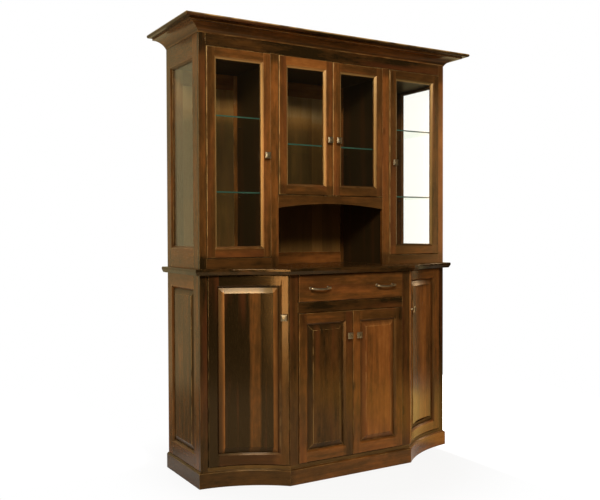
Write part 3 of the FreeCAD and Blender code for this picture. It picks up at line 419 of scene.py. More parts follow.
def staves(shader, grain, tone):
    """Grain and tone of a board glued up from staves, each cut from another place."""
    across, through, along = shader.split(grain)
    count = shader.node("ShaderNodeMath", {"operation": "FLOOR"}, {0: across / STAVE_WIDTH})
    chance = shader.node("ShaderNodeTexWhiteNoise", {"noise_dimensions": "1D"}, {"W": count})
    shifted = shader.join(across, through, along + STAVE_SHIFT * chance)
    return shifted, tone + STAVE_TONES * (chance - 0.5)


def knots(shader, grain):
    """Small dark eyes here and there, longer along the grain."""
    space = shader.node("ShaderNodeMapping", {}, {"Vector": grain, "Scale": KNOTS})
    reach = shader.node("ShaderNodeTexVoronoi", {}, {"Vector": space, "Scale": 1.0})
    return 1 - shader.between(reach, 0.03, 0.12)


def figured(shader, grain, lines):
    """How the shade changes over a board, from broad clouds down to fine lines."""
    figure = shader.noise(grain, FIGURE, 4.0, 0.6)
    cloud = shader.noise(grain, CLOUD, 2.0)
    mottle = shader.noise(grain, MOTTLE, 3.0, 0.6)
    return 0.8 * (figure - 0.5) + 0.6 * (cloud - 0.5) + 0.4 * (mottle - 0.5) + 0.35 * (lines - 0.5)


def glaze_shade_wear_and_highlight(shader, colour, grain, glaze):
    """Glaze and painted shade in recesses, painted highlight where the mark is below 0, and wear
    and painted highlight.
    """
    colour = shader.mix(GLAZE_AND_SHADE_SHARE * glaze, colour, GLAZE_AND_SHADE)
    colour = shader.mix(-RECESS_HIGHLIGHT_SHARE * glaze, colour, PALE_WEAR_AND_HIGHLIGHT)
    patches = shader.between(shader.noise(grain, PATCHES, 2.0), 0.35, 0.6)
    return shader.mix(WEAR_AND_HIGHLIGHT_SHARE * patches * shader.attribute("wear", "Fac"), colour, PALE_WEAR_AND_HIGHLIGHT)


def stained_wood(name, stops, glued_up, roughness=0.16, contrast=1.0):
    shader = Shader(bpy.data.materials.new(name))
    grain = shader.attribute("grain", "Vector")
    tone = shader.attribute("tone", "Fac")
    glaze = shader.attribute("glaze", "Fac")
    if glued_up:
        grain, tone = staves(shader, grain, tone)
    lines = shader.noise(grain, LINES, 4.0, 0.7)
    pores = shader.between(shader.noise(grain, PORES, 2.0), 0.58, 0.72)
    streaks = shader.between(shader.noise(grain, STREAKS, 2.0), 0.5, 0.7)
    shade = tone + contrast * figured(shader, grain, lines)
    shade = shade - KNOT_SHARE * contrast * knots(shader, grain)
    colour = shader.ramp(RAMP_LENGTH * shade, stops)
    colour = shader.mix(RED_SHARE * contrast * streaks, colour, STAIN_RED)
    colour = shader.mix(PORE_SHARE * pores, colour, STAIN_DARK)
    dull = GLAZE_DULLS * shader.between(glaze, 0.0, 0.6)
    return shader.surface({"Base Color": glaze_shade_wear_and_highlight(shader, colour, grain, glaze),
                           "Roughness": roughness + 0.12 * lines + 0.1 * pores + dull,
                           "Specular Tint": LACQUER_TINT,
                           "Coat Weight": 0.05, "Coat Roughness": 0.1,
                           "Normal": shader.bump(lines - pores, 0.12, 0.0003)})


FINISHES = {"case_wood": stained_wood("stained_frame", STAIN_STOPS, glued_up=False),
            "panel_wood": stained_wood("stained_panel", STAIN_STOPS, glued_up=True)}
INSIDE_FINISH = stained_wood("stained_inside", INSIDE_STOPS, glued_up=True,
                             roughness=0.50, contrast=0.4)
print("stave width in metres:", STAVE_WIDTH)

# %% [markdown]
# The drawer's box and runners, the door stops and the base's back are pale maple under clear
# lacquer, because what is seldom seen isn't stained. The recipe is a short form of the cherry's:
# lines, clouds and a broad figure mix a light colour and a dark one.

# %% Clear maple
MAPLE_LIGHT = shown(206, 170, 124)
MAPLE_DARK = shown(146, 102, 62)
MAPLE_LINES = (210.0, 210.0, 4.0)
MAPLE_CLOUD = (14.0, 14.0, 2.0)
MAPLE_FIGURE = (34.0, 34.0, 1.6)


def clear_maple():
    shader = Shader(bpy.data.materials.new("clear_maple"))
    grain = shader.attribute("grain", "Vector")
    tone = shader.attribute("tone", "Fac")
    lines = shader.noise(grain, MAPLE_LINES, 4.0, 0.65)
    cloud = shader.noise(grain, MAPLE_CLOUD, 3.0)
    figure = shader.between(shader.noise(grain, MAPLE_FIGURE, 3.0), 0.35, 0.65)
    share = 0.3 * tone + 0.6 * lines + 0.6 * cloud + 0.35 * figure - 0.45
    return shader.surface({"Base Color": shader.mix(share, MAPLE_LIGHT, MAPLE_DARK),
                           "Roughness": 0.38 + 0.2 * lines,
                           "Coat Weight": 0.2, "Coat Roughness": 0.3,
                           "Normal": shader.bump(lines, 0.08, 0.0003)})


FINISHES["inner_wood"] = clear_maple()
print("finishes so far:", sorted(FINISHES))

# %% [markdown]
# Window glass neither bends nor colours what lies behind it, so light passes straight through and
# only a share is mirrored, more the flatter the glass is seen. A full glass shader would also bend
# the light, and make more noise. The cut edge of a shelf is another matter: there the eye looks
# through the whole width of the sheet, and the iron in it shows green.

# %% Glass
GLASS_MIRROR = 0.04          # share of light that glass mirrors face on
GLASS_ROUGHNESS = 0.1
WINDOW_GRAZING = 0.96        # what is added to that share at the flattest angle
SHELF_GRAZING = 0.08
GRAZING_POWER = 5            # keeps that addition to flat angles
CLEAR_TINT = shown(254, 254, 252)
SHELF_TINT = shown(251, 254, 252)
EDGE_GREEN = shown(30, 58, 48)
EDGE_LIGHT = shown(60, 96, 80)
EDGE_RIPPLE = (22.0, 22.0, 160.0)
EDGE_PAINTED_GLOW = 0.07             # painted glow at the cut edge, for light that the sheet gathers and lets out there


def sheet_glass(name, tint, grazing):
    shader = Shader(bpy.data.materials.new(name))
    facing = shader.node("ShaderNodeLayerWeight", {}, {"Blend": 0.5}, "Facing")
    mirror = GLASS_MIRROR + grazing * facing ** GRAZING_POWER
    through = shader.node("ShaderNodeBsdfTransparent", {}, {"Color": tint})
    shine = shader.node("ShaderNodeBsdfAnisotropic", {}, {"Color": WHITE,
                                                          "Roughness": GLASS_ROUGHNESS})
    return shader.end(shader.node("ShaderNodeMixShader", {}, {0: mirror, 1: through, 2: shine}))


def glass_edge():
    shader = Shader(bpy.data.materials.new("glass_edge"))
    place = shader.node("ShaderNodeTexCoord", {}, {}, "Object")
    ripple = shader.noise(place, EDGE_RIPPLE, 2.0)
    colour = shader.mix(ripple, EDGE_GREEN, EDGE_LIGHT)
    # The edge has a painted glow, for light that the sheet gathers.
    return shader.surface({"Base Color": colour, "Roughness": 0.08 + 0.1 * ripple,
                           "Emission Color": colour, "Emission Strength": EDGE_PAINTED_GLOW})


FINISHES["clear_glass"] = sheet_glass("window_glass", CLEAR_TINT, WINDOW_GRAZING)
FINISHES["shelf_glass"] = sheet_glass("shelf_glass", SHELF_TINT, SHELF_GRAZING)
EDGE_FINISH = glass_edge()
print("glass mirrors face on:", GLASS_MIRROR)

# %% [markdown]
# Knobs and pulls are cast in pewter and aged: the hollows keep a brown patina and the high places
# are rubbed bright. Noise stands for the patina, and where a piece carries wear with painted
# highlight it is brighter. Hinges and pins are bronzed steel, dark enough to vanish in the gaps.

# %% Metals
PEWTER_BRIGHT = shown(236, 216, 176)
PEWTER_DARK = shown(82, 66, 40)
STEEL_BRIGHT = shown(92, 76, 56)
STEEL_DARK = shown(58, 46, 32)
PATINA = (260.0, 260.0, 260.0)
CASTING = (900.0, 900.0, 900.0)
PATINA_BRIGHT = 0.55         # share of bright metal that the patina leaves at most
WEAR_AND_HIGHLIGHT_BRIGHT = 0.6            # share that full wear and painted highlight add
METAL_ROUGHNESS = 0.34


def aged_metal(name, bright, dark):
    shader = Shader(bpy.data.materials.new(name))
    place = shader.node("ShaderNodeTexCoord", {}, {}, "Object")
    patina = shader.noise(place, PATINA, 4.0, 0.6)
    casting = shader.noise(place, CASTING, 2.0)
    share = PATINA_BRIGHT * shader.between(patina, 0.25, 0.75)
    # Brighter where a piece carries wear with painted highlight.
    share = share + WEAR_AND_HIGHLIGHT_BRIGHT * shader.attribute("wear", "Fac")
    return shader.surface({"Base Color": shader.mix(share, dark, bright), "Metallic": 1.0,
                           "Roughness": METAL_ROUGHNESS + 0.15 * (1 - share),
                           "Normal": shader.bump(patina + 0.5 * casting, 0.1, 0.0004)})


FINISHES["antique_pewter"] = aged_metal("antique_pewter", PEWTER_BRIGHT, PEWTER_DARK)
FINISHES["hinge_steel"] = aged_metal("bronzed_steel", STEEL_BRIGHT, STEEL_DARK)
print("finishes:", sorted(FINISHES))

# %% [markdown]
# The packed pieces are loose triangles. Each solid is welded into a board of its own, so that
# neighbours that touch stay apart. The triangles come solid by solid, and a solid is whole when
# every edge met so far has found its partner. Flat faces are joined again, and a board that goes
# from dark to light is cut where its tone changes, because a tone is kept at points only.

# %% Boards from solids
WELD = 1e6                   # steps to a metre when points are compared
FLAT_ANGLE = math.radians(0.4)


def closed_solids(mesh):
    """The mesh's solids, each a list of triangles of points."""
    solids = []
    triangles = []
    unpaired = set()
    for polygon in mesh.polygons:
        corners = [mesh.vertices[index].co for index in polygon.vertices]
        keys = [tuple(round(value * WELD) for value in corner) for corner in corners]
        triangles.append(list(zip(keys, corners)))
        for start, end in zip(keys, keys[1:] + keys[:1]):
            if (end, start) in unpaired:
                unpaired.remove((end, start))
            else:
                unpaired.add((start, end))
        if not unpaired:
            solids.append(triangles)
            triangles = []
    return solids


def cut_across(build, cuts):
    """Cut flat faces at places along an axis, so that a tone can change there."""
    for axis, place in cuts:
        way = Vector([float(number == axis) for number in range(3)])
        everything = [*build.verts, *build.edges, *build.faces]
        bmesh.ops.bisect_plane(build, geom=everything, dist=1 / WELD,
                               plane_co=place * way, plane_no=way)


def welded(name, solids, flatten=True, cuts=()):
    """One mesh of welded solids whose faces remember their board's number."""
    build = bmesh.new()
    number = build.faces.layers.int.new("board")
    for count, triangles in enumerate(solids):
        points = {}
        for triangle in triangles:
            for key, corner in triangle:
                if key not in points:
                    points[key] = build.verts.new(corner)
            face = build.faces.new([points[key] for key, corner in triangle])
            face[number] = count
            face.smooth = True
    build.normal_update()
    if flatten:
        bmesh.ops.dissolve_limit(build, angle_limit=FLAT_ANGLE, verts=build.verts,
                                 edges=build.edges)
    cut_across(build, cuts)
    mesh = bpy.data.meshes.new(name)
    build.to_mesh(mesh)
    build.free()
    return mesh


print("hinge leaves:", len(closed_solids(NODES["hinges"].data)))

# %% [markdown]
# Sandpaper takes the knife edge off every board before it is stained. A small bevel does the same
# here, and its faces are marked with a number, so that they can be made paler later, partly as wear
# and partly as painted highlight. Normals weighted by area keep the flats flat beside the bevels.
# The counter is rounded already, so it keeps its shape and its exact normals.

# %% Softened corners
SHARP_ANGLE = math.radians(28)
PANEL_SHARP_ANGLE = math.radians(12)  # the raised field of a panel meets its bevel at 19 degrees
EASE = {"case_wood": 0.0006, "panel_wood": 0.0012, "inner_wood": 0.0008, "clear_glass": 0.0003,
        "shelf_glass": 0.0008, "antique_pewter": 0.0007, "hinge_steel": 0.0002}
EASE_STEPS = 2
SOFTENED = 1                 # number that marks the faces of softened corners


def plain_mesh(piece):
    """Bake a piece's modifiers into its mesh."""
    graph = bpy.context.evaluated_depsgraph_get()
    mesh = bpy.data.meshes.new_from_object(piece.evaluated_get(graph))
    piece.modifiers.clear()
    piece.data = mesh


def eased(node, cuts=()):
    """A board piece that stands for a packed node, with its corners softened."""
    solids = closed_solids(NODES[node].data)
    piece = bpy.data.objects.new(node + "_finished", welded(node, solids, cuts=cuts))
    bpy.context.scene.collection.objects.link(piece)
    for number in (0, SOFTENED):
        piece.data.materials.append(None)
    bevel = piece.modifiers.new("eased", "BEVEL")
    bevel.limit_method = "ANGLE"
    bevel.angle_limit = PANEL_SHARP_ANGLE if SLOTS[node] == "panel_wood" else SHARP_ANGLE
    bevel.material = SOFTENED
    bevel.width = EASE[SLOTS[node]]
    bevel.segments = EASE_STEPS
    bevel.loop_slide = False
    piece.modifiers.new("weighted", "WEIGHTED_NORMAL")
    plain_mesh(piece)
    return piece


def kept_round(node):
    """A piece that keeps the rounded edges of its packed node, with their exact normals."""
    packed = NODES[node].data
    normals = [corner.vector.copy() for corner in packed.corner_normals]
    mesh = welded(node, closed_solids(packed), flatten=False)
    piece = bpy.data.objects.new(node + "_finished", mesh)
    bpy.context.scene.collection.objects.link(piece)
    piece.data.normals_split_custom_set(normals)
    return piece


print("packed nodes:", len(NODES))

# %% [markdown]
# No two boards take stain alike. A piece has a tone, where 0 is dark and 1 is pale, and each of its
# boards departs a little from it by chance. Some pieces also go from dark to light sideways or
# upward. Some of these runs and fixed tones are the colour of the boards, and some are painted
# light and shade, as is marked where they stand. Such a run is an axis and a row of places in
# metres, each with its tone. Where a piece has two runs, they are added.

# %% Tones of the boards, with painted light and shade
SIDEWAYS = 0
UPWARD = 2
COMMON_TONE = 0.48
# Painted shade: dark ceilings and partitions inside the hutch, and dark corner posts at the lower
# left.
TONES = {"arched_apron": 0.32, "base_centre_left_door_panel": 0.27,
         "base_centre_right_door_panel": 0.60, "base_corner_posts": 0.16,
         "base_right_door_frame": 0.6, "base_right_door_panel": 0.6, "centre_face_frame": 0.24,
         "countertop": -0.05, "crown_cap": 0.24, "crown_moulding": 0.46, "hutch_ceiling": -0.2,
         "hutch_partitions": -0.12, "niche_ceiling": -0.2}
TONE_RUNS = {
    # Painted highlights: the bright band at the left bevel's field edge and the pale right end.
    "base_left_door_panel": [
        (SIDEWAYS, [(-0.637, -0.50), (-0.613, 1.0), (-0.61, -0.32), (-0.515, -0.28), (-0.50, 0.62),
                    (-0.465, 0.55), (-0.45, -0.15), (-0.412, -0.10), (-0.41, 0.95)])],
    # Painted shade: the outer boards are dark for the light falling off toward the lower left.
    "base_left_door_frame": [
        (SIDEWAYS, [(-0.60, -0.25), (-0.42, -0.1), (-0.40, 0.32)])],
    "base_centre_left_door_frame": [
        (UPWARD, [(0.72, 0.0), (0.74, -0.12)]),
        (SIDEWAYS, [(-0.06, 0.48), (-0.05, 0.34)])],
    "base_centre_right_door_frame": [
        (UPWARD, [(0.15, 0.1), (0.16, 0.0), (0.72, 0.0), (0.74, -0.2)]),
        (SIDEWAYS, [(0.05, 0.5), (0.06, 0.44), (0.24, 0.42), (0.25, 0.3)])],
    # Painted sheen: the far right stile is toned paler.
    "hutch_face_frame": [
        (UPWARD, [(1.05, -0.28), (1.07, 0.0), (1.97, 0.0), (2.0, -0.34)]),
        (SIDEWAYS, [(-0.75, 0.24), (-0.70, 0.46), (0.68, 0.46), (0.723, 0.78)])],
    "hutch_left_door_frame": [
        (UPWARD, [(1.095, -0.06), (1.105, 0.0)]),
        (SIDEWAYS, [(-0.71, 0.36), (-0.66, 0.46), (-0.50, 0.54)])],
    "hutch_right_door_frame": [
        (UPWARD, [(1.095, 0.2), (1.105, 0.0)]),
        (SIDEWAYS, [(0.52, 0.28), (0.72, 0.34), (0.75, 0.56)])],
    "hutch_centre_left_door_frame": [
        (UPWARD, [(1.395, 0.36), (1.405, 0.56)])],
    "hutch_centre_right_door_frame": [
        (UPWARD, [(1.395, -0.1), (1.405, 0.0)]),
        (SIDEWAYS, [(0.03, 0.58), (0.06, 0.42), (0.28, 0.32)])],
    # Painted light and shade: the back is toned pale near its top and darker below; darker in the
    # left bay.
    "hutch_back_panels": [
        (UPWARD, [(1.28, 0.56), (1.42, 0.32), (1.66, 0.34), (1.72, 0.46), (1.80, 1.1), (1.9, 1.2)]),
        (SIDEWAYS, [(-0.34, -0.14), (-0.32, 0.0)])],
    # Painted light and shade: toned darker through the middle and pale at the top, like the back.
    "hutch_back_frame": [
        (UPWARD, [(1.07, 0.48), (1.12, 0.24), (1.62, 0.24), (1.78, 0.55), (1.84, 0.9)])],
    "plinth": [
        (SIDEWAYS, [(-0.36, 0.15), (-0.32, 0.46), (0.32, 0.46), (0.36, 0.58)])]}


def tone_run(axis, stops, point):
    """Tone of a place on a piece that goes from dark to light along an axis."""
    place = min(max(point[axis], stops[0][0]), stops[-1][0])
    for (start, first), (end, last) in zip(stops, stops[1:]):
        if place <= end:
            return first + (last - first) * (place - start) / (end - start)


def tone_cuts(node):
    """Places where the tone of a piece changes, each with its axis."""
    return [(axis, place) for axis, stops in TONE_RUNS.get(node, []) for place, tone in stops]


def board_tone(node, point):
    """Tone of a place on a piece, before its board's own change."""
    if node in TONE_RUNS:
        return sum(tone_run(axis, stops, point) for axis, stops in TONE_RUNS[node])
    return TONES.get(node, COMMON_TONE)


print("pieces with a tone of their own:", len(TONES), "with runs:", len(TONE_RUNS))

# %% [markdown]
# Grain is stored on the boards as a place in each board's own space. The longest side is along the
# grain, and the shortest is through it. Boards that follow the hollow curve are bent, so they are
# first laid flat: the distance round the curve takes the place of the distance across.

# %% Places in the wood
HOLLOW_RADIUS = 0.640
BENT_REACH = 0.022           # a bent board lies this close to the curve


def hollow_centre():
    """Centre of the right-hand hollow curve, in plan."""
    outer = Vector((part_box("hutch_side_frames")[1].x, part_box("hutch_face_frame")[0].y))
    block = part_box("centre_face_frame")
    inner = Vector((block[1].x, block[0].y))
    chord = inner - outer
    forward = Vector((-chord.y, chord.x)).normalized()
    reach = math.sqrt(HOLLOW_RADIUS ** 2 - (chord.length / 2) ** 2)
    return (outer + inner) / 2 + forward * reach


HOLLOW = hollow_centre()


def laid_flat(points):
    """Points of a bent board as distance round the curve, distance out and height."""
    flat = []
    for point in points:
        arm = Vector((abs(point.x), point.y)) - HOLLOW
        flat.append(Vector((HOLLOW_RADIUS * math.atan2(arm.y, arm.x), arm.length, point.z)))
    bent = all(abs(point.y - HOLLOW_RADIUS) < BENT_REACH for point in flat)
    return flat if bent else points


def grain_axes(points, upright):
    """Which of x, y and z run across, through and along a board."""
    spans = [max(axis) - min(axis) for axis in zip(*points)]
    along = UPWARD if upright else spans.index(max(spans))
    rest = sorted({0, 1, 2} - {along}, key=lambda axis: spans[axis])
    return rest[1], rest[0], along


print("centre of the hollow curve:", [round(value, 3) for value in HOLLOW])

# %% [markdown]
# Recesses are darkened by a point's depth behind the face of its board, partly as a real glaze that
# gathers there and partly as painted shade. Softened corners and the rounded inner edges of door
# frames are painted paler, partly as wear from hands and cloths and partly as painted highlight.
# The nose of the crown gets a painted highlight. The glazed doors get a painted highlight in their
# recesses in place of the dark, except on their low rails, which keep the dark and get little of
# the paler edge.

# %% Glaze with painted shade, wear with painted highlight
GLAZE_AND_SHADE_DEPTH = 0.012          # behind the face, where the glaze and the painted shade are darkest
GLAZE_AND_SHADE_END = 0.0135           # deeper points, as on the back of a board, have none
# Glazed door frames: painted highlight in their recesses, and more wear and highlight at their
# edges.
PAINTED_HIGHLIGHT_FRAMES = ("hutch_left_door_frame", "hutch_centre_left_door_frame",
                 "hutch_centre_right_door_frame", "hutch_right_door_frame")
ROUNDING = (0.0004, 0.0030)  # depth behind a door's face at which its rounded edge is made paler, as wear and painted highlight
FRAME_WEAR_AND_HIGHLIGHT = 0.6            # on the rounded edges of the glazed door frames
OTHER_WEAR_AND_HIGHLIGHT = 0.25           # on those of other frames
CAP_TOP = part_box("crown_cap")[1].z
CAP_ROUNDING = (0.0003, 0.0068)  # below the top of the crown's cap, where its nose gets a painted highlight
# Painted highlight along the nose of the crown's cap.
CAP_HIGHLIGHT = 0.7
LOW_RAIL = 0.12              # a board that ends this close above a door's foot is its low rail
LOW_RAIL_SHARE = 0.1           # share of the wear and painted highlight that a low rail gets


def glaze_and_shade_left(points, axis):
    """How dark each point of a board is made, as glaze and painted shade, by its depth behind the
    face.
    """
    depths = [point[axis] for point in points]
    if axis == SIDEWAYS and sum(depths) > 0:
        depths = [-depth for depth in depths]
    face = min(depths)
    return [(depth - face) / GLAZE_AND_SHADE_DEPTH if depth - face < GLAZE_AND_SHADE_END else 0.0 for depth in depths]


def worn_and_highlit_points(mesh):
    """1 for each point in the middle of a softened corner, and 0 elsewhere."""
    softened = any(polygon.material_index == SOFTENED for polygon in mesh.polygons)
    worn_and_highlit = [float(softened)] * len(mesh.vertices)
    for polygon in mesh.polygons:
        if polygon.material_index != SOFTENED:
            for index in polygon.vertices:
                worn_and_highlit[index] = 0.0
    return worn_and_highlit


def is_low_rail(node, spots):
    """Whether a board lies at the foot of its piece."""
    return max(spot.z for spot in spots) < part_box(node)[0].z + LOW_RAIL


def rounding_wear_and_highlight(node, spot, depth, low_rail):
    """Wear and painted highlight of a point on an edge that is rounded in the wood itself."""
    # The crown's nose gets a painted highlight.
    if node == "crown_cap" and CAP_ROUNDING[0] < CAP_TOP - spot.z < CAP_ROUNDING[1]:
        return CAP_HIGHLIGHT
    if node.endswith("_door_frame") and ROUNDING[0] < depth < ROUNDING[1]:
        wear = FRAME_WEAR_AND_HIGHLIGHT if node in PAINTED_HIGHLIGHT_FRAMES else OTHER_WEAR_AND_HIGHLIGHT
        return LOW_RAIL_SHARE * wear if low_rail else wear
    return 0.0


def recess_sign(node, low_rail):
    """1 where a board is darkened in its recesses, and -1 where they get a painted highlight
    instead.
    """
    return -1.0 if node in PAINTED_HIGHLIGHT_FRAMES and not low_rail else 1.0


print("frames with rubbed recesses:", len(PAINTED_HIGHLIGHT_FRAMES))

# %% [markdown]
# Now each board is cut from its own place in the log: a start drawn by chance, the same at every
# run, is added to its measure. Place, tone, glaze with painted shade, and wear with painted
# highlight are written on the points of the mesh, where the finishes read them. A texture image
# could hold them too, but would have to be unwrapped.

# %% Grain of every board
SPREAD = 40.0                # boards are cut from places this far apart in the log
TONE_SPREAD = 0.13           # how far a board's tone may depart from its piece's


def lay_grain(piece, node):
    """Write each point's place, its board's tone, its glaze and painted shade, and its wear and
    highlight.
    """
    mesh = piece.data
    chance = random.Random(node)
    boards = {}
    for polygon, board in zip(mesh.polygons, mesh.attributes["board"].data):
        boards.setdefault(board.value, set()).update(polygon.vertices)
    worn_and_highlit = worn_and_highlit_points(mesh)
    places = [Vector()] * len(mesh.vertices)
    tones = [0.0] * len(mesh.vertices)
    recess_marks = [0.0] * len(mesh.vertices)
    for number in sorted(boards):
        members = sorted(boards[number])
        spots = [mesh.vertices[index].co for index in members]
        points = laid_flat(spots)
        axes = grain_axes(points, SLOTS[node] == "panel_wood")
        start = [chance.uniform(0, SPREAD) for axis in axes]
        change = chance.uniform(-TONE_SPREAD, TONE_SPREAD)
        low_rail = is_low_rail(node, spots)
        # Glaze and painted shade by depth, turned into painted highlight in the recesses of some
        # frames.
        sign = recess_sign(node, low_rail)
        for index, spot, point, glaze in zip(members, spots, points, glaze_and_shade_left(points, axes[1])):
            places[index] = Vector([point[axis] + shift for axis, shift in zip(axes, start)])
            tones[index] = board_tone(node, spot) + change
            recess_marks[index] = sign * glaze
            wear = rounding_wear_and_highlight(node, spot, glaze * GLAZE_AND_SHADE_DEPTH, low_rail)
            worn_and_highlit[index] = max(worn_and_highlit[index], wear)
    grain = mesh.attributes.new("grain", "FLOAT_VECTOR", "POINT")
    grain.data.foreach_set("vector", [value for place in places for value in place])
    for name, values in (("tone", tones), ("glaze", recess_marks), ("wear", worn_and_highlit)):
        mesh.attributes.new(name, "FLOAT", "POINT").data.foreach_set("value", values)
    return len(boards)


print("the log is this long in metres:", SPREAD)

# %% [markdown]
# Every packed node is now dressed: it is replaced by its eased piece, which rides on the same body,
# so a door still swings with its own frame, glass, beads and knob. The glass shelves have no grain,
# but their front edges get the green of a cut edge.

# %% Dress the nodes
INSIDE = {"base_partitions", "hutch_partitions", "base_shelves", "hutch_floors", "niche_ceiling",
          "hutch_ceiling", "base_floor", "hutch_back_panels"}
FRONTWARD = 0.5              # a shelf's face that looks forward more than this is its front edge


def dress(piece, node, *finishes):
    """Give a piece its finishes and let it stand for its node on the node's body."""
    piece.data.materials.clear()
    for finish in finishes:
        piece.data.materials.append(finish)
    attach(piece, NODES[node]["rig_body"])
    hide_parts(node)


boards = 0
for node in sorted(set(NODES) - {"glass_shelves", "drawer_pulls"}):
    piece = kept_round(node) if node == "countertop" else eased(node, tone_cuts(node))
    boards += lay_grain(piece, node)
    dress(piece, node, INSIDE_FINISH if node in INSIDE else FINISHES[SLOTS[node]])
print("boards and parts:", boards)

shelves = eased("glass_shelves")
dress(shelves, "glass_shelves", FINISHES["shelf_glass"], EDGE_FINISH)
for face in shelves.data.polygons:
    face.material_index = 1 if face.normal.y < -FRONTWARD else 0
print("shelf edge faces:", sum(face.material_index for face in shelves.data.polygons))

# %% [markdown]
# Hardware repeats, so it is made by recipes in Geometry Nodes. A recipe is a tree with named sizes
# and one geometry at its end, and making a piece from it leaves a plain mesh.

# %% Recipes
class Recipe(Tree):
    """A Geometry Nodes tree with named sizes and one geometry as its result."""

    def __init__(self, name, sizes):
        super().__init__(bpy.data.node_groups.new(name, "GeometryNodeTree"))
        face = self.tree.interface
        face.new_socket("Geometry", in_out="OUTPUT", socket_type="NodeSocketGeometry")
        face.new_socket("Geometry", in_out="INPUT", socket_type="NodeSocketGeometry")
        self.sizes = sizes
        self.keys = {}
        for label in sizes:
            socket = face.new_socket(label, in_out="INPUT", socket_type="NodeSocketFloat")
            self.keys[label] = socket.identifier
        self.start = self.tree.nodes.new("NodeGroupInput")

    def size(self, label):
        return Wire(self, self.start.outputs[label])

    def geometry(self, kind, settings, sockets):
        return self.node("GeometryNode" + kind, settings, sockets)

    def both(self, first, second):
        """Two geometries as one."""
        joined = self.geometry("JoinGeometry", {}, {0: first})
        self.tree.links.new(second.socket, joined.socket.node.inputs[0])
        return joined

    def weld(self, geometry):
        """A geometry whose points that coincide are one, so that seams and tips are closed."""
        return self.geometry("MergeByDistance", {}, {"Geometry": geometry, "Distance": 1 / WELD})

    def close(self, geometry, finish, rounded):
        """End the recipe in plain faces, shaded smooth where the shape is rounded."""
        smooth = self.geometry("SetShadeSmooth", {}, {0: geometry, "Shade Smooth": rounded})
        real = self.geometry("RealizeInstances", {}, {0: smooth})
        painted = self.geometry("SetMaterial", {}, {"Geometry": real, "Material": finish})
        self.node("NodeGroupOutput", {}, {0: painted})

    def make(self, name, mesh):
        """A plain piece that the recipe makes, starting from a mesh."""
        piece = bpy.data.objects.new(name, mesh)
        bpy.context.scene.collection.objects.link(piece)
        modifier = piece.modifiers.new(name, "NODES")
        modifier.node_group = self.tree
        for label, value in self.sizes.items():
            modifier[self.keys[label]] = value
        plain_mesh(piece)
        return piece


print("recipes can be written")

# %% [markdown]
# A bow pull is a bent rod on two posts. The rod is swept along an arc that also sags a little, and
# swells to a bead at each end, which is made brighter, partly as wear from fingers and partly as
# painted highlight. The posts flare where they meet the drawer. Casting would give the same form in
# one piece. The two pulls are one pull set on two points.

# %% Bow pulls
PULL_SIZES = {"Spread": 0.382, "Length": 0.110, "Centres": 0.096, "Crest": 0.022,
              "Ends": 0.016, "Sag": 0.005, "Rod": 0.0048, "Post": 0.0046}
ROD_STEPS = 49
POST_STEPS = 12
ROUND_STEPS = 14
BEAD_SWELL = 0.35            # share that the bead adds to the rod's radius
BEAD_POWER = 6               # the higher, the shorter the bead
TIP_POWER = 24               # the higher, the blunter the tip
POST_FLARE = 0.8             # share that the flare adds to the post's radius
FLARE_POWER = 4


def pull_rod(recipe, circle):
    half = recipe.size("Length") / 2
    ends = 0 - recipe.size("Ends")
    crest = recipe.join(0.0, 0 - recipe.size("Crest"), 0 - recipe.size("Sag"))
    path = recipe.geometry("CurveArc", {"mode": "POINTS"},
                           {"Resolution": ROD_STEPS, "Start": recipe.join(0 - half, ends, 0.0),
                            "Middle": crest, "End": recipe.join(half, ends, 0.0)})
    place = recipe.geometry("SplineParameter", {}, {})
    out = (2 * place - 1) ** 2
    bead = 1 + BEAD_SWELL * out ** BEAD_POWER
    tip = (1 - out ** TIP_POWER) ** 0.5
    # Wear and painted highlight, strongest at the rod's ends.
    ends_marked = recipe.geometry("StoreNamedAttribute", {"data_type": "FLOAT", "domain": "POINT"},
                             {"Geometry": path, "Name": "wear", "Value": out ** 2})
    rod = recipe.geometry("CurveToMesh", {}, {"Curve": ends_marked, "Profile Curve": circle,
                                             "Scale": recipe.size("Rod") * bead * tip})
    return recipe.weld(rod)


def pull_post(recipe, circle):
    end = recipe.join(0.0, 0 - recipe.size("Ends"), 0.0)
    line = recipe.geometry("CurvePrimitiveLine", {}, {"Start": (0.0, 0.0, 0.0), "End": end})
    path = recipe.geometry("ResampleCurve", {}, {"Curve": line, "Count": POST_STEPS})
    place = recipe.geometry("SplineParameter", {}, {})
    flare = 1 + POST_FLARE * (1 - place) ** FLARE_POWER
    return recipe.geometry("CurveToMesh", {}, {"Curve": path, "Profile Curve": circle,
                                              "Scale": recipe.size("Post") * flare,
                                              "Fill Caps": True})


def set_on_pair(recipe, spread, shape):
    """A shape set on two points a distance apart."""
    first = recipe.join(spread / -2, 0.0, 0.0)
    pair = recipe.geometry("MeshLine", {}, {"Count": 2, "Start Location": first,
                                            "Offset": recipe.join(spread, 0.0, 0.0)})
    return recipe.geometry("InstanceOnPoints", {}, {"Points": pair, "Instance": shape})


def bow_pulls():
    recipe = Recipe("bow_pulls", PULL_SIZES)
    circle = recipe.geometry("CurvePrimitiveCircle", {}, {"Resolution": ROUND_STEPS, "Radius": 1.0})
    posts = set_on_pair(recipe, recipe.size("Centres"), pull_post(recipe, circle))
    pull = recipe.both(pull_rod(recipe, circle), posts)
    both_pulls = set_on_pair(recipe, recipe.size("Spread"), pull)
    recipe.close(both_pulls, FINISHES["antique_pewter"], True)
    return recipe.make("bow_pulls", bpy.data.meshes.new("bow_pulls"))


pulls = bow_pulls()
low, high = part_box("drawer_pulls")
pulls.data.transform(Matrix.Translation((0, high.y, (low.z + high.z) / 2)))
dress(pulls, "drawer_pulls", FINISHES["antique_pewter"])
print("pull faces:", len(pulls.data.polygons))

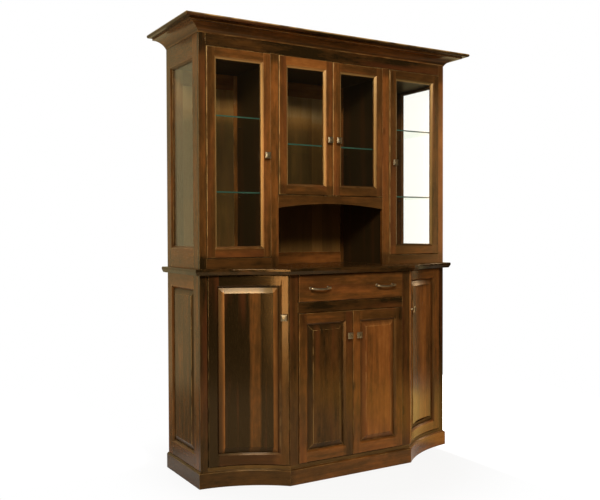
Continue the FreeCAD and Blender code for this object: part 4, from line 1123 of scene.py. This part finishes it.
# %% [markdown]
# Countersunk screws hold the hinge leaves and the back board. A head is a disc with a cross cut
# into it: the outlines of a circle and of a star are filled together, so the star stays open. The
# star is then drawn down to a pocket and the circle to the head's foot. Each screw stands on a
# point that knows which way it faces.

# %% Screws
HEAD_SIDES = 16
CROSS_WAIST = 0.16           # shares of the head's radius
CROSS_REACH = 0.62
CROSS_DEPTH = 0.4
HEAD_DEPTH = 0.6


def screw_points(name, spots):
    """A mesh of loose points that know which way they face."""
    mesh = bpy.data.meshes.new(name)
    mesh.from_pydata([place for place, facing in spots], [], [])
    facing = mesh.attributes.new("facing", "FLOAT_VECTOR", "POINT")
    facing.data.foreach_set("vector", [value for place, facing in spots for value in facing])
    return mesh


def drawn_down(recipe, outline, depth):
    """A floor with the walls above it, drawn down from a filled outline."""
    sheet = recipe.geometry("FillCurve", {}, {"Curve": outline})
    return recipe.geometry("ExtrudeMesh", {}, {"Mesh": sheet, "Offset Scale": 0 - depth,
                                               "Individual": False})


def screw_head(recipe):
    radius = recipe.size("Head") / 2
    rim = recipe.geometry("CurvePrimitiveCircle", {}, {"Resolution": HEAD_SIDES, "Radius": radius})
    cross = recipe.geometry("CurveStar", {}, {"Points": 4, "Inner Radius": CROSS_WAIST * radius,
                                              "Outer Radius": CROSS_REACH * radius})
    sheet = recipe.geometry("FillCurve", {}, {"Curve": recipe.both(rim, cross)})
    pocket = drawn_down(recipe, cross, CROSS_DEPTH * radius)
    foot = drawn_down(recipe, rim, HEAD_DEPTH * radius)
    cup = recipe.geometry("FlipFaces", {}, {"Mesh": foot})
    return recipe.weld(recipe.both(recipe.both(sheet, pocket), cup))


def screws(name, spots, head):
    recipe = Recipe(name, {"Head": head})
    way = recipe.geometry("InputNamedAttribute", {"data_type": "FLOAT_VECTOR"}, {"Name": "facing"})
    turn = recipe.node("FunctionNodeAlignRotationToVector", {"axis": "Z"}, {"Vector": way})
    points = Wire(recipe, recipe.start.outputs["Geometry"])
    placed = recipe.geometry("InstanceOnPoints", {}, {"Points": points, "Rotation": turn,
                                                      "Instance": screw_head(recipe)})
    recipe.close(placed, FINISHES["hinge_steel"], False)
    return recipe.make(name, screw_points(name, spots))


print("sides of a screw's head:", HEAD_SIDES)

# %% [markdown]
# Two screws hold each hinge leaf, on the face that its door leaves free, and screws at an even
# pitch hold the back board all round. A drawing would give their places as measures. Here they are
# found on the solids, so they still fit when the cabinet is built in another size.

# %% Places of the screws
LEAF_THICKNESS = 0.0025
LEAF_SCREWS = (0.014, 0.028)  # from the pin's axis
LEAF_HEAD = 0.0056
BACK_INSET = 0.012
BACK_PITCH = 0.16
BACK_HEAD = 0.0075
SCREW_RISE = 0.0002
SAME_LEVEL = 1e-4            # points closer than this in height lie on one face


def leaf_spots():
    """Two spots on the free face of each hinge leaf."""
    spots = []
    for triangles in closed_solids(NODES["hinges"].data):
        points = [corner for triangle in triangles for key, corner in triangle]
        top = max(point.z for point in points)
        bottom = min(point.z for point in points)
        cap = [point.x for point in points if top - point.z < SAME_LEVEL]
        rise = -1 if max(cap) - min(cap) > LEAF_SCREWS[0] else 1
        pin_end = bottom if rise < 0 else top
        pin = [point for point in points if abs(point.z - pin_end) < SAME_LEVEL]
        axis = sum((point for point in pin), Vector()) / len(pin)
        far = max(points, key=lambda point: abs(point.x - axis.x))
        inward = 1 if far.x > axis.x else -1
        middle = (max(point.y for point in points) + min(point.y for point in points)) / 2
        level = (top if rise < 0 else bottom) + rise * (LEAF_THICKNESS + SCREW_RISE)
        for reach in LEAF_SCREWS:
            spots.append((Vector((axis.x + inward * reach, middle, level)), Vector((0, 0, rise))))
    return spots


def back_spots():
    """Spots round the edge of the base's back board, at an even pitch."""
    low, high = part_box("base_back")
    face = high.y + SCREW_RISE
    left = low.x + BACK_INSET
    right = high.x - BACK_INSET
    foot = low.z + BACK_INSET
    top = high.z - BACK_INSET
    round_the_edge = ((left, foot), (right, foot), (right, top), (left, top))
    corners = [Vector((x, face, z)) for x, z in round_the_edge]
    spots = []
    for start, end in zip(corners, corners[1:] + corners[:1]):
        count = round((end - start).length / BACK_PITCH)
        for step in range(count):
            spots.append((start.lerp(end, step / count), Vector((0, 1, 0))))
    return spots


for name, spots, head in (("hinge_screws", leaf_spots(), LEAF_HEAD),
                          ("back_screws", back_spots(), BACK_HEAD)):
    piece = screws(name, spots, head)
    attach(piece, NODES["hinges"]["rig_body"])
    print(name, len(spots))

# %% [markdown]
# The finished cabinet may stand only a little outside the plain solids.
